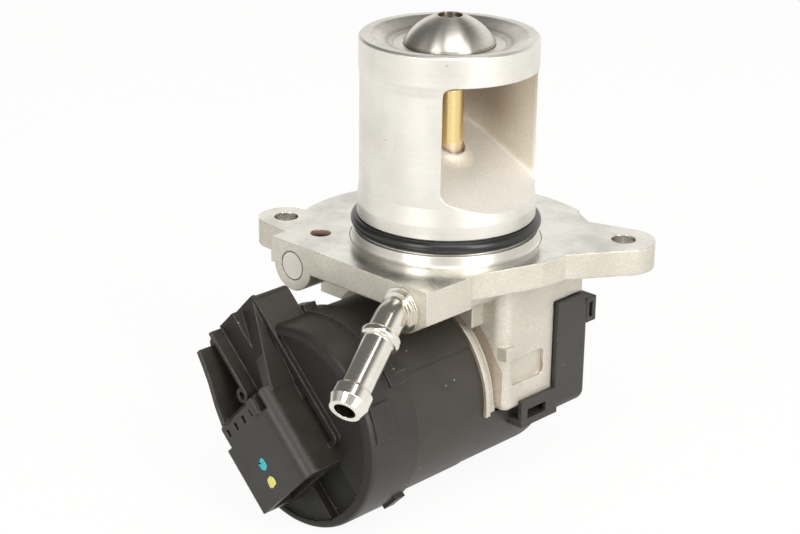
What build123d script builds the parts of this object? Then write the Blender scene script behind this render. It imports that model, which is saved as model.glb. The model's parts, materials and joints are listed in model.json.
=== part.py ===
from build123d import *
import math
import os

# Electric exhaust gas recirculation valve, in millimetres.
# The origin is where the spigot's axis meets the top face of the mounting flange.
# +Z runs up the spigot, -Y points from the stem towards the motor, +X towards the side port.

# Spigot: the ported tube that plugs into the exhaust elbow
SPIGOT_HEIGHT = 58.5
RIM_RADIUS = 25.0
RIM_BAND_HEIGHT = 8.5
WAIST_RADIUS = 24.7
BASE_BAND_RADIUS = 25.3
BASE_BAND_HEIGHT = 11.0
DISH_RADIUS = 22.2
DISH_DEPTH = 2.6
DUCT_WIDTH = 36.8
DUCT_SHIFT = -0.8
DUCT_FLOOR_Z = 13.6
DUCT_FLOOR_SLOPE = 0.475
DUCT_FLOOR_RADIUS = 2.2
PORT_CORNER_RADIUS = 1.8
PORT_START_X = 14.0
WAIST_STEP = 5.0
RIM_STEP = 3.0
RIM_CHAMFER = 0.6

# Face seal in the groove at the foot of the spigot
SEAL_SECTION = 3.4
SEAL_Z = 5.3
SEAL_PROUD = 1.7
GROOVE_CLEARANCE = 0.3
FACE_RELIEF_WIDTH = 2.0
FACE_RELIEF_DEPTH = 0.8

# Valve seat, poppet and stem
POPPET_RADIUS = 12.7
POPPET_SEAT_DROP = 2.5
POPPET_CONE_DROP = 3.4
POPPET_CONE_STEP = 3.2
POPPET_LIP_HEIGHT = 0.8
POPPET_DOME_RISE = 7.0
POPPET_CROWN_RADIUS = 4.0
POPPET_SOCKET_RADIUS = 3.4
POPPET_SOCKET_DEPTH = 1.5
POPPET_SHOULDER_OUT = 0.6
POPPET_SHOULDER_RISE = 4.25
STEM_INSERT = 4.0
SEAT_SET_DOWN = 0.1
SEAT_THROAT_DROP = 0.4
SEAT_GAP = 0.25
SEAT_RING_RADIUS = 15.6
SEAT_RING_HEIGHT = 4.6
STEM_RADIUS = 3.0
STEM_CLEARANCE = 0.04
GUIDE_RADIUS = 4.25
GUIDE_TOP_Z = 44.0
GUIDE_CHAMFER = 0.6
STEM_SEAL_RADIUS = 6.0
STEM_SEAL_THICKNESS = 3.0

# Return spring round the foot of the stem
SPRING_WIRE = 1.2
SPRING_COIL_RADIUS = 5.2
SPRING_TURNS = 5
SPRING_ROOF_Z = 4.0
SPRING_BORE_RADIUS = 7.6
SPRING_SEAT_THICKNESS = 1.2
SPRING_SEAT_RADIUS = 6.8

# Scotch yoke on the foot of the stem, driven by the crank roller
CRANK_RADIUS = 6.0
CRANK_SWING = 60.0
CRANK_AXIS_X = -5.6
CRANK_AXIS_Z = -22.0
CRANK_DISC_RADIUS = 9.4
CRANK_DISC_THICKNESS = 3.4
CRANK_DISC_Y = 5.0
CRANK_PIN_RADIUS = 1.6
ROLLER_RADIUS = 3.0
ROLLER_CLEARANCE = 0.12
YOKE_WIDTH = 15.0
YOKE_DEPTH = 8.4
YOKE_WALL = 2.9
YOKE_NECK_HEIGHT = 8.0
YOKE_NECK_RADIUS = 4.2
YOKE_PIN_RADIUS = 0.9
YOKE_PIN_RISE = 0.6
YOKE_PIN_INSET = 0.6
YOKE_ROOF = 0.8
YOKE_CORNER_RADIUS = 1.5
OUTPUT_SHAFT_RADIUS = 3.0
OUTPUT_SHAFT_CLEARANCE = 0.04
OUTPUT_BUSH_RADIUS = 5.0
CRANK_BUSH_GAP = 0.4
SECTOR_BUSH_GAP = 0.3
SHAFT_END_GAP = 0.6

# Gear train behind the stem
PRESSURE_ANGLE = 25.0
TOOTH_ADDENDUM = 0.8
TOOTH_DEDENDUM = 1.05
TOOTH_BACKLASH = 0.10
PINION_TEETH = 10
WHEEL_TEETH = 38
FIRST_MODULE = 0.7
SMALL_TEETH = 10
SECTOR_TEETH = 34
SECOND_MODULE = 0.9
CENTRE_ALLOWANCE = 0.03
WHEEL_Y = 22.0
WHEEL_WIDTH = 4.2
SECTOR_Y = 17.0
SECTOR_WIDTH = 4.3
PINION_OVERHANG = 0.4
SECTOR_HUB_RADIUS = 7.0
SECTOR_HOLES = 3
SECTOR_HOLE_PLACE = 10.6
SECTOR_HOLE_RADIUS = 1.7
SECTOR_HOLE_STEP = 24.0
WHEEL_HOLES = 5
WHEEL_HOLE_PLACE = 8.6
WHEEL_HOLE_RADIUS = 2.4
GEAR_PIN_RADIUS = 2.0
GEAR_PIN_CLEARANCE = 0.04
GEAR_PIN_FLOOR = 0.8

# Mounting flange
FLANGE_THICKNESS = 7.5
FLANGE_RADIUS = 45.0
EAR_HOLE_RADIUS = 3.5
LEFT_EAR = (-42.1, -22.6)
LEFT_EAR_RADIUS = 8.0
RIGHT_EAR = (38.0, 33.2)
RIGHT_EAR_RADIUS = 9.0
FRONT_FACE_Y = -36.6
FRONT_LEFT_X = -33.3
FRONT_RIGHT_X = 27.5
RIGHT_SIDE = ((26.7, -18.0), (34.0, 3.0), (34.6, 12.0))
RIGHT_EAR_FOOT = (46.2, 29.5)
RIGHT_EAR_HEAD = (35.4, 41.8)
BACK_STEP = ((22.0, 37.3), (14.0, 42.0), (0.0, 42.0))
LEFT_NOTCH_Y = -31.2
LEFT_WEB_X = -40.0

# Coolant passages in the front of the flange
PLUG_X = -24.6
PLUG_Z = -6.6
PLUG_LOBE_RADIUS = 7.3
PLUG_RADIUS = 4.3
PLUG_THICKNESS = 3.0
PORT_HOLE = (-25.3, -24.9)
PORT_HOLE_RADIUS = 3.0
NOZZLE_X = 18.7
NOZZLE_Z = -7.0
NOZZLE_LOBE_RADIUS = 6.7
NOZZLE_RADIUS = 4.4
NOZZLE_BORE = 3.0
NOZZLE_INSERT = 9.0
NOZZLE_STRAIGHT = 4.0
NOZZLE_BEND_RADIUS = 8.0
NOZZLE_BEND = 36.0
NOZZLE_SWING = 27.0
NOZZLE_LEG = 32.5
NOZZLE_RING_PLACE = 8.6
NOZZLE_COLLAR_RADIUS = 6.4
NOZZLE_COLLAR_THICKNESS = 1.2
NOZZLE_COLLAR_STEP = 0.8
NOZZLE_BEAD_SLOPE = 2.4
NOZZLE_BEAD_RADIUS = 5.5
NOZZLE_BEAD_LENGTH = 7.0
NOZZLE_RING_RADIUS = 5.7
NOZZLE_RING_LENGTH = 3.0
NOZZLE_RING_EDGE_RADIUS = 1.2
CORNER_BLOCK_BACK_Y = -19.0
CORNER_SIDE_Z = -9.4
CORNER_FOOT_X = 22.4
CORNER_FOOT_Z = -12.6
PLUG_WAY_PAST_PORT = 5.0
NOZZLE_WAY_PAST_TUBE = 8.0
LOBE_ROOT = 2.0

# Motor, on an axis along Y below the stem
MOTOR_X = -2.4
MOTOR_Z = -42.8
MOTOR_FACE_Y = -10.2
CAN_RADIUS = 27.75
CAN_WALL = 2.15
CAN_LENGTH = 26.9
CAN_BACK_THICKNESS = 2.4
CAN_PAD_RISE = 1.0
CAN_PAD_ANGLES = (38.0, 128.0)
FLUX_WALL = 2.0
FLUX_LENGTH = 20.4
MAGNET_WALL = 3.6
MAGNET_SPAN = 142.0
MAGNET_SET_BACK = 1.0
AIR_GAP = 0.6
ROTOR_SLOTS = 8
ROTOR_SLOT_WIDTH = 4.4
ROTOR_SLOT_DEPTH = 9.0
ROTOR_LENGTH = 13.4
ROTOR_CORE_RADIUS = 7.0
WINDING_OVERHANG = 2.0
WINDING_INSET = 2.0
RISER_THICKNESS = 1.2
RISER_RISE = 0.8
MOTOR_SHAFT_RADIUS = 2.0
MOTOR_SHAFT_CLEARANCE = 0.04
BEARING_RADIUS = 5.0
BEARING_LENGTH = 4.0
BEARING_WALL = 3.0
SHAFT_ROOM = 1.0
MOTOR_SEAL_OUTER = 24.0
MOTOR_SEAL_INNER = 22.4
MOTOR_SEAL_DEPTH = 0.8
COMMUTATOR_RADIUS = 6.0
COMMUTATOR_LENGTH = 7.5
BRUSH_WIDTH = 4.0
BRUSH_LENGTH = 8.0
BRUSH_GAP = 0.1
CARD_THICKNESS = 2.0
CARD_REACH = 1.4
CARD_HOLES = 4
CARD_HOLE_RADIUS = 4.0
CARD_HOLE_PLACE = 17.0
BRUSH_BOX_WALL = 1.0
BRUSH_BOX_GAP = 1.2
SHAFT_NOSE = 7.5
SENSOR_MAGNET_RADIUS = 4.0
SENSOR_MAGNET_LENGTH = 2.0
BOARD_THICKNESS = 1.4

# End cap with the diagonal connector head
CAP_RADIUS = 29.25
CAP_LENGTH = 19.1
CAP_WALL = 2.2
CAP_EDGE_RADIUS = 2.4
CAP_RECESS = 1.2
CAP_LIP_LENGTH = 3.2
CAP_LIP_WALL = 1.6
CAP_SHELF = 1.5
CAP_LIP_FIT = 0.05
JOINT_GAP = 0.6
HEAD_TILT = 44.0
HEAD_END_U = -36.0
HEAD_TOP_W = 13.9
HEAD_BOTTOM_W = -14.0
HEAD_DEPTH = 12.1
HEAD_PLATE_U = 10.8
HEAD_CORNER_RADIUS = 2.0
FIN_WALL = 1.5
FIN_RISE = 0.6
FIN_END_W = 9.0
SHELF_RISE = 4.2
SHELF_W = (-0.6, 7.0)
RIDGE_RISES = (0.2, 7.8)
RIDGE_W = (13.2, 10.4)
RIB_RISE = 8.4
RIB_THICKNESS = 1.2
RIB_END_U = -34.2
RING_BOSS = (-14.7, -2.2)
RING_BOSS_RADIUS = 2.2
RING_BOSS_BORE = 1.1
RING_BOSS_DEPTH = 4.0
SCREEN_RISE = 12.4
SCREEN_WALL = 1.4
SCREEN_LINE = ((-31.4, -3.3), (-27.3, -4.4), (-22.8, -5.8), (-16.6, -8.5), (-11.0, -10.2))
SIDE_POCKET_U = (-4.6, 9.3)
SIDE_POCKET_DEPTH = 1.8
CONNECTOR_DEPTH = 11.4
CONNECTOR_START_U = -12.0
CONNECTOR_END_U = 15.2
CONNECTOR_LOW_W = -16.2
CONNECTOR_HIGH_W = 9.8
CONNECTOR_WALL = 1.7
CONNECTOR_ROUND = 4.0
CONNECTOR_BEVEL = 1.2
CONNECTOR_NOTCH_U = -5.0
CONNECTOR_NOTCH_W = 2.3
SOCKET_LOW_W = -14.1
SOCKET_HIGH_W = 5.3
SOCKET_DEPTH = 17.0
SOCKET_BACK_WALL = 2.0
TERMINAL_COUNT = 5
TERMINAL_PITCH = 3.7
TERMINAL_WIDTH = 1.5
TERMINAL_THICKNESS = 0.8
TERMINAL_REACH = 9.0
TERMINAL_ROOT = 6.0
WITNESS_SLOTS = 4
WITNESS_SLOT_U = (-9.6, -7.4)
WITNESS_SLOT_W = -11.7
WITNESS_SLOT_STEP = 4.45
WITNESS_SLOT_WIDTH = 1.6
WITNESS_SLOT_DEPTH = 1.2
LATCH_U = (-11.4, -6.5)
LATCH_W = (2.7, 5.4)
LATCH_RISE = 0.8
LATCH_POCKET_W = (5.5, 8.0)
LATCH_POCKET_DEPTH = 2.5
CHANNEL_U = (14.2, 27.8)
CHANNEL_W = (-7.6, 7.2)
CHANNEL_DEPTH = 4.2
CHANNEL_FLOOR = 1.8
CHANNEL_SIDE = 1.6
CHANNEL_WALL = 1.0
CAP_TAB_ANGLES = (46.0, 136.0, 226.0, 316.0)
CAP_TAB_WIDTH = 6.4
CAP_TAB_LENGTH = 3.6
CAP_TAB_RISE = 0.9
CAP_PAD_ANGLES = (34.0, 128.0)
CAP_PAD_RISE = 0.8
CAP_LABEL_ANGLES = (9.0, 29.0)
CAP_LABEL_LENGTH = 7.0
CAP_RIM_WIDTH = 2.6
CLIP_ANGLE = 112.0
CLIP_WIDTH = 6.0
CLIP_LENGTH = 4.5
CLIP_RISE = 2.4
BOARD_U = (-17.0, 12.4)
BOARD_HALF_WIDTH = 12.0

# Casting below the flange
CASE_LEFT_X = -27.0
CASE_RIGHT_X = 28.0
CASE_FRONT_Y = -6.0
CASE_BACK_Y = 15.5
CASE_BOTTOM_Z = -45.5
CASE_CORNER_RADIUS = 4.0
MOTOR_FLANGE_RADIUS = 28.8
MOTOR_FLANGE_THICKNESS = 1.8
MOTOR_NECK_RADIUS = 27.4
CASE_EDGE_RADIUS = 1.5
WEB_X = (-34.5, -12.0)
WEB_Y = (-16.0, -7.2)
WEB_BOTTOM_Z = -23.0
WEB_NOTCH_X = -38.0
WEB_NOTCH_Z = -20.0
WEB_GAP = 0.4
RIB_X = (-8.0, 20.0)
RIB_BOTTOM_Z = -20.0
POCKET_Y = (-2.0, 12.0)
POCKET_Z = (-38.0, -30.0)
POCKET_DEPTH = 1.4
NUB_Y = (-5.6, -2.2)
NUB_Z = (-29.0, -25.2)
NUB_RISE = 1.2
POCKET_CORNER_RADIUS = 2.0
HOOD_BACK_Y = 28.0
HOOD_BOTTOM_Z = -17.0
CHAMBER_FRONT_Y = -5.2
CHAMBER_LEFT_X = -16.6
CHAMBER_RIGHT_X = 9.8
CHAMBER_TOP_Z = -9.0
CHAMBER_BOTTOM_Z = -33.6
CHAMBER_CORNER_RADIUS = 2.0
SPRING_ROOM = 0.8
SECTOR_ROOM_X = (-24.0, 13.0)
SECTOR_ROOM_BACK_Y = 25.0
SECTOR_ROOM_TOP_Z = -8.2
PLATE_Y = 10.0
PLATE_THICKNESS = 4.2
PLATE_MARGIN = 3.8
PLATE_RIGHT_X = 18.5
SCREW_RADIUS = 1.5
SCREW_SPREAD = 20.6
MOTOR_SCREW_REACH = 5.0
SCREW_HEAD_RADIUS = 2.6
SCREW_HEAD_HEIGHT = 1.8
SCREW_SOCKET_RADIUS = 1.4
SCREW_SOCKET_FLOOR = 0.6
PLATE_SCREW_REACH = 4.5
PLATE_SCREW_INSET = 2.6
PLATE_SCREW_DROP = 3.0
PLATE_SCREW_MIDDLE_Z = -22.5
PLATE_SCREW_CORNER = 0.3
PLATE_CORNER_RADIUS = 3.0
PLATE_TOP_MARGIN = 0.4

# Gear cover behind and below the casting
COVER_BACK_Y = 30.0
COVER_WALL = 2.0
COVER_LEFT_X = -27.0
COVER_RIGHT_X = 29.5
COVER_BOTTOM_Z = -52.0
COVER_CORNER_RADIUS = 4.0
GASKET_THICKNESS = 0.5
GASKET_WIDTH = 2.0
BELLY_RADIUS = 27.5
BELLY_BACK_Y = 20.0
BELLY_GAP = 0.3
BELLY_EDGE_RADIUS = 3.0
COVER_EDGE_RADIUS = 2.0
COVER_TOP_GAP = 0.3
COVER_WAY_HALF = 24.0
COVER_WAY_BACK_Y = 27.0
COVER_WAY_HEIGHT = 3.0
BOSS_GAP = 0.6
CLIP_GAP = 0.2
TOP_TAB_BACK_Y = 27.5
TOP_TAB_DROP = 6.5
LOOP_X = (24.0, 29.5)
LOOP_BACK_Y = 33.0
LOOP_Z = (-27.0, -19.5)
LOOP_WALL = 1.4
SNAP_FRONT_Y = 1.4
SNAP_TOP_Z = -43.4
SNAP_BOTTOM_Z = -51.5
SNAP_SLOT_Y = (4.0, 12.0)
SNAP_SLOT_Z = (-49.5, -46.4)
SNAP_FLOOR_X = 18.0
SNAP_FLOOR_THICKNESS = 2.1

# Half-space blocks that trim other shapes are this large
REACH = 240.0

# Derived places
PORT_TOP_Z = SPIGOT_HEIGHT - RIM_BAND_HEIGHT
SPIGOT_FOOT_Z = -FACE_RELIEF_DEPTH
POPPET_SEAT_Z = SPIGOT_HEIGHT - POPPET_SEAT_DROP
CAN_FRONT_Y = MOTOR_FACE_Y - CAN_LENGTH
CAP_BACK_Y = CAN_FRONT_Y - JOINT_GAP
CAP_FACE_Y = CAP_BACK_Y - CAP_LENGTH
HEAD_BACK_Y = CAP_FACE_Y + HEAD_DEPTH
CONNECTOR_FACE_Y = CAP_FACE_Y - CONNECTOR_DEPTH
SOCKET_BACK_Y = CAP_FACE_Y - SOCKET_BACK_WALL
SEAL_CENTRE_RADIUS = BASE_BAND_RADIUS + SEAL_PROUD - SEAL_SECTION / 2
GROOVE_RADIUS = SEAL_CENTRE_RADIUS - SEAL_SECTION / 2
DISH_FLOOR_Z = SPIGOT_HEIGHT - DISH_DEPTH
SEAT_TOP_Z = POPPET_SEAT_Z - SEAT_SET_DOWN
SEAT_BOTTOM_Z = SEAT_TOP_Z - SEAT_RING_HEIGHT
POPPET_FOOT_Z = POPPET_SEAT_Z - POPPET_CONE_DROP
POPPET_FOOT_RADIUS = POPPET_RADIUS - POPPET_CONE_STEP
GUIDE_FOOT_Z = SPRING_ROOF_Z + STEM_SEAL_THICKNESS
SLOT_HALF_HEIGHT = ROLLER_RADIUS + ROLLER_CLEARANCE
CRANK_REST_ANGLE = -CRANK_SWING / 2
CRANK_PIN_X = CRANK_AXIS_X + CRANK_RADIUS * math.cos(math.radians(CRANK_REST_ANGLE))
CRANK_PIN_Z = CRANK_AXIS_Z + CRANK_RADIUS * math.sin(math.radians(CRANK_REST_ANGLE))
YOKE_TOP_Z = CRANK_PIN_Z + SLOT_HALF_HEIGHT + YOKE_WALL
YOKE_BOTTOM_Z = CRANK_PIN_Z - SLOT_HALF_HEIGHT - YOKE_WALL
STEM_FOOT_Z = CRANK_PIN_Z + SLOT_HALF_HEIGHT + YOKE_ROOF
YOKE_PIN_Z = YOKE_TOP_Z + YOKE_PIN_RISE
SPRING_SEAT_Z = YOKE_TOP_Z + YOKE_NECK_HEIGHT - SPRING_SEAT_THICKNESS
GASKET_Y = CASE_BACK_Y
COVER_FRONT_Y = GASKET_Y + GASKET_THICKNESS
COVER_TOP_Z = HOOD_BOTTOM_Z - COVER_TOP_GAP
SHAFT_END_Y = WHEEL_Y + WHEEL_WIDTH + PINION_OVERHANG
COVER_INNER_Y = COVER_BACK_Y - COVER_WALL
CAN_BACK_Y = MOTOR_FACE_Y
FLUX_RADIUS = CAN_RADIUS - CAN_WALL
MAGNET_RADIUS = FLUX_RADIUS - FLUX_WALL
ROTOR_RADIUS = MAGNET_RADIUS - MAGNET_WALL - AIR_GAP
FLUX_BACK_Y = CAN_BACK_Y - CAN_BACK_THICKNESS
FLUX_FRONT_Y = FLUX_BACK_Y - FLUX_LENGTH
ROTOR_BACK_Y = FLUX_BACK_Y - (FLUX_LENGTH - ROTOR_LENGTH) / 2
ROTOR_FRONT_Y = ROTOR_BACK_Y - ROTOR_LENGTH
COMMUTATOR_BACK_Y = ROTOR_FRONT_Y - WINDING_OVERHANG - RISER_THICKNESS
COMMUTATOR_FRONT_Y = COMMUTATOR_BACK_Y - COMMUTATOR_LENGTH
CARD_Y = COMMUTATOR_FRONT_Y - CARD_REACH
SHAFT_FRONT_Y = CARD_Y - SHAFT_NOSE
MOTOR = Pos(MOTOR_X, 0, MOTOR_Z)
HEAD = MOTOR * Rot(0, HEAD_TILT, 0)


def centre_distance(teeth_a, teeth_b, module):
    """Distance between two meshed gears, opened a little so that the flanks run free."""
    return (teeth_a + teeth_b) * module / 2 + CENTRE_ALLOWANCE


def wheel_axis():
    """Place of the intermediate gear, one mesh from the motor shaft and one from the crank shaft."""
    first = centre_distance(PINION_TEETH, WHEEL_TEETH, FIRST_MODULE)
    second = centre_distance(SMALL_TEETH, SECTOR_TEETH, SECOND_MODULE)
    dx, dz = CRANK_AXIS_X - MOTOR_X, CRANK_AXIS_Z - MOTOR_Z
    base = math.hypot(dx, dz)
    along = (base**2 + first**2 - second**2) / (2 * base)
    aside = math.sqrt(first**2 - along**2)
    return MOTOR_X + (dx * along + dz * aside) / base, MOTOR_Z + (dz * along - dx * aside) / base


WHEEL_AXIS_X, WHEEL_AXIS_Z = wheel_axis()


def above(z):
    """Everything above a height."""
    return Pos(0, 0, z + REACH / 2) * Box(REACH, REACH, REACH)


def below(z):
    """Everything below a height."""
    return Pos(0, 0, z - REACH / 2) * Box(REACH, REACH, REACH)


def block(x0, x1, y0, y1, z0, z1):
    """Box between two corners."""
    return Pos((x0 + x1) / 2, (y0 + y1) / 2, (z0 + z1) / 2) * Box(x1 - x0, y1 - y0, z1 - z0)


def disc_y(radius, y0, y1, x=0.0, z=0.0):
    """Cylinder along Y from y0 to y1."""
    return Pos(x, (y0 + y1) / 2, z) * Rot(90, 0, 0) * Cylinder(radius, y1 - y0)


def ring_y(outer, inner, y0, y1, x=0.0, z=0.0):
    """Tube along Y from y0 to y1."""
    return disc_y(outer, y0, y1, x, z) - disc_y(inner, y0 - 1, y1 + 1, x, z)


def disc_z(radius, z0, z1, x=0.0, y=0.0):
    """Cylinder along Z from z0 to z1."""
    return Pos(x, y, (z0 + z1) / 2) * Cylinder(radius, z1 - z0)


def turned(profile):
    """Solid of revolution about Z from (radius, height) points."""
    face = make_face(Polyline(*[(r, 0, z) for r, z in profile], close=True))
    return revolve(face, Axis.Z, 360)


def facing_front(y, x=0.0, z=0.0):
    """Plane that looks towards -Y, with its own x along X and its own y along Z."""
    return Plane(origin=(x, y, z), x_dir=(1, 0, 0), z_dir=(0, -1, 0))


def prism_y(sketch, y0, y1, x=0.0, z=0.0):
    """A sketch drawn in X and Z, carried from y0 to y1."""
    return extrude(facing_front(y1, x, z) * sketch, amount=y1 - y0)


def rounded_box(x0, x1, y0, y1, z0, z1, radius):
    """Box along Y with its four long edges rounded."""
    outline = RectangleRounded(x1 - x0, z1 - z0, radius)
    return prism_y(outline, y0, y1, (x0 + x1) / 2, (z0 + z1) / 2)


def wedge_y(radius, start, end, y0, y1):
    """Pie slice about the motor's axis between two angles, measured from +X towards +Z."""
    middle = (start + end) / 2
    reach = radius / math.cos(math.radians((end - start) / 4))
    angles = (start, middle, end)
    points = [(0, 0)] + [
        (reach * math.cos(math.radians(a)) * 1.5, reach * math.sin(math.radians(a)) * 1.5)
        for a in angles
    ]
    return prism_y(make_face(Polyline(*points, close=True)), y0, y1, MOTOR_X, MOTOR_Z)


def tooth_flank(teeth, module):
    """(radius, half angle) pairs up one involute flank, from root to tip."""
    pressure = math.radians(PRESSURE_ANGLE)
    pitch_radius = teeth * module / 2
    base_radius = pitch_radius * math.cos(pressure)
    half_pitch = math.pi / (2 * teeth) - TOOTH_BACKLASH / (4 * pitch_radius)
    root = pitch_radius - TOOTH_DEDENDUM * module
    tip = pitch_radius + TOOTH_ADDENDUM * module
    start = max(root, base_radius)
    flank = []
    if root < base_radius:
        flank.append((root, half_pitch + math.tan(pressure) - pressure))
    for step in range(4):
        radius = start + (tip - start) * step / 3
        turn = math.acos(min(1.0, base_radius / radius))
        half = half_pitch + math.tan(pressure) - pressure - math.tan(turn) + turn
        flank.append((radius, half))
    return flank


def toothed_outline(teeth, module, phase, first=0, last=None):
    """Points round a gear, or round a part of one, with tooth 0 centred on the phase angle."""
    flank = tooth_flank(teeth, module)
    points = []
    for index in range(first, teeth if last is None else last + 1):
        centre = math.radians(phase) + 2 * math.pi * index / teeth
        points += [(r * math.cos(centre - h), r * math.sin(centre - h)) for r, h in flank]
        points += [(r * math.cos(centre + h), r * math.sin(centre + h)) for r, h in reversed(flank)]
    return points


def angle_to(x0, z0, x1, z1):
    """Direction from one axis to another, in degrees from +X towards +Z."""
    return math.degrees(math.atan2(z1 - z0, x1 - x0))


def duct_space():
    """Room inside the spigot: round at the back, straight towards the side port, on a sloping floor."""
    wide = 2 * BASE_BAND_RADIUS
    half = DUCT_WIDTH / 2
    plan = Circle(half) + Pos(wide / 2, 0) * Rectangle(wide, DUCT_WIDTH)
    column = Pos(0, DUCT_SHIFT) * extrude(plan, amount=PORT_TOP_Z)
    floor_middle = DUCT_FLOOR_Z + DUCT_FLOOR_SLOPE * WAIST_RADIUS
    slab = extrude(make_face(Polyline(
        (wide, 0, floor_middle - DUCT_FLOOR_SLOPE * wide),
        (-wide, 0, floor_middle + DUCT_FLOOR_SLOPE * wide),
        (-wide, 0, PORT_TOP_Z),
        (wide, 0, PORT_TOP_Z),
        close=True,
    )), amount=wide, both=True)
    room = column & slab
    floor = room.faces().sort_by(Axis.Z)[0]
    room = fillet([edge for edge in floor.edges() if edge.center().X < wide - 1], DUCT_FLOOR_RADIUS)
    mouth = block(PORT_START_X, 2 * wide, -wide, wide, 0, PORT_TOP_Z)
    corners = [edge for edge in (room & mouth).edges().filter_by(Axis.X) if edge.center().Z > PORT_TOP_Z - 1]
    return (room - mouth) + fillet(corners, PORT_CORNER_RADIUS)


def spigot():
    body = turned([
        (0, SPIGOT_FOOT_Z), (BASE_BAND_RADIUS, SPIGOT_FOOT_Z), (BASE_BAND_RADIUS, BASE_BAND_HEIGHT),
        (WAIST_RADIUS, BASE_BAND_HEIGHT + WAIST_STEP), (WAIST_RADIUS, PORT_TOP_Z - RIM_STEP),
        (RIM_RADIUS, PORT_TOP_Z), (RIM_RADIUS, SPIGOT_HEIGHT - RIM_CHAMFER),
        (RIM_RADIUS - RIM_CHAMFER, SPIGOT_HEIGHT), (0, SPIGOT_HEIGHT),
    ])
    groove_half = SEAL_SECTION / 2 + GROOVE_CLEARANCE
    groove = turned([
        (GROOVE_RADIUS, SEAL_Z - groove_half), (BASE_BAND_RADIUS + 1, SEAL_Z - groove_half),
        (BASE_BAND_RADIUS + 1, SEAL_Z + groove_half), (GROOVE_RADIUS, SEAL_Z + groove_half),
    ])
    dish = turned([
        (0, DISH_FLOOR_Z), (SEAT_RING_RADIUS, DISH_FLOOR_Z), (DISH_RADIUS, SPIGOT_HEIGHT),
        (DISH_RADIUS, SPIGOT_HEIGHT + 1), (0, SPIGOT_HEIGHT + 1),
    ])
    seat_pocket = disc_z(SEAT_RING_RADIUS, SEAT_BOTTOM_Z, SPIGOT_HEIGHT)
    throat = disc_z(POPPET_RADIUS, PORT_TOP_Z - 1, SPIGOT_HEIGHT)
    guide_bore = disc_z(GUIDE_RADIUS, SPIGOT_FOOT_Z - 1, PORT_TOP_Z)
    seal_bore = disc_z(STEM_SEAL_RADIUS, SPIGOT_FOOT_Z - 1, GUIDE_FOOT_Z)
    spring_bore = disc_z(SPRING_BORE_RADIUS, SPIGOT_FOOT_Z - 1, SPRING_ROOF_Z)
    solid = body - duct_space() - groove - dish - seat_pocket - throat
    return solid - guide_bore - seal_bore - spring_bore


def port_seal():
    ring = Pos(0, 0, SEAL_Z) * Torus(SEAL_CENTRE_RADIUS, SEAL_SECTION / 2)
    return ring


def seat_cone_radius(z):
    """Radius of the seat's cone at a height, the seat gap outside the poppet's cone."""
    return POPPET_RADIUS + SEAT_GAP + (z - POPPET_SEAT_Z) * POPPET_CONE_STEP / POPPET_CONE_DROP


def seat_ring():
    foot_z = POPPET_FOOT_Z - SEAT_THROAT_DROP
    return turned([
        (seat_cone_radius(SEAT_TOP_Z), SEAT_TOP_Z), (SEAT_RING_RADIUS, SEAT_TOP_Z),
        (SEAT_RING_RADIUS, SEAT_BOTTOM_Z), (seat_cone_radius(foot_z), SEAT_BOTTOM_Z),
        (seat_cone_radius(foot_z), foot_z),
    ])


def poppet():
    lip_z = POPPET_SEAT_Z + POPPET_LIP_HEIGHT
    crown_z = lip_z + POPPET_DOME_RISE
    socket_z = crown_z - POPPET_SOCKET_DEPTH
    shoulder_radius = (POPPET_RADIUS + POPPET_CROWN_RADIUS) / 2 + POPPET_SHOULDER_OUT
    shoulder = (shoulder_radius, 0, lip_z + POPPET_SHOULDER_RISE)
    outline = (
        Polyline(
            (POPPET_CROWN_RADIUS, 0, crown_z), (POPPET_SOCKET_RADIUS, 0, crown_z),
            (POPPET_SOCKET_RADIUS, 0, socket_z), (0, 0, socket_z), (0, 0, POPPET_FOOT_Z),
            (POPPET_FOOT_RADIUS, 0, POPPET_FOOT_Z), (POPPET_RADIUS, 0, POPPET_SEAT_Z),
            (POPPET_RADIUS, 0, lip_z),
        )
        + ThreePointArc((POPPET_RADIUS, 0, lip_z), shoulder, (POPPET_CROWN_RADIUS, 0, crown_z))
    )
    head = revolve(make_face(outline), Axis.Z, 360)
    return head - disc_z(STEM_RADIUS, POPPET_FOOT_Z - 1, POPPET_FOOT_Z + STEM_INSERT)


def valve_stem():
    stem = disc_z(STEM_RADIUS, STEM_FOOT_Z, POPPET_FOOT_Z + STEM_INSERT)
    return stem - disc_y(YOKE_PIN_RADIUS, -YOKE_WIDTH, YOKE_WIDTH, 0, YOKE_PIN_Z)


def stem_guide():
    bore = STEM_RADIUS + STEM_CLEARANCE
    sleeve = disc_z(GUIDE_RADIUS, GUIDE_FOOT_Z, GUIDE_TOP_Z)
    sleeve = chamfer(sleeve.edges().group_by(Axis.Z)[-1], GUIDE_CHAMFER)
    return sleeve - disc_z(bore, GUIDE_FOOT_Z - 1, GUIDE_TOP_Z + 1)


def stem_seal():
    ring = disc_z(STEM_SEAL_RADIUS, SPRING_ROOF_Z, GUIDE_FOOT_Z)
    return ring - disc_z(STEM_RADIUS + STEM_CLEARANCE, SPRING_ROOF_Z - 1, GUIDE_FOOT_Z + 1)


def return_spring():
    bottom = SPRING_SEAT_Z + SPRING_SEAT_THICKNESS + SPRING_WIRE / 2
    height = SPRING_ROOF_Z - SPRING_WIRE / 2 - bottom
    path = Pos(0, 0, bottom) * Helix(height / SPRING_TURNS, height, SPRING_COIL_RADIUS)
    section = Plane(origin=path @ 0, z_dir=path % 0) * RegularPolygon(SPRING_WIRE / 2, 6)
    return sweep(section, path, is_frenet=True)


def spring_seat():
    washer = disc_z(SPRING_SEAT_RADIUS, SPRING_SEAT_Z, SPRING_SEAT_Z + SPRING_SEAT_THICKNESS)
    return washer - disc_z(STEM_RADIUS, SPRING_SEAT_Z - 1, SPRING_SEAT_Z + SPRING_SEAT_THICKNESS + 1)


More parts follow.
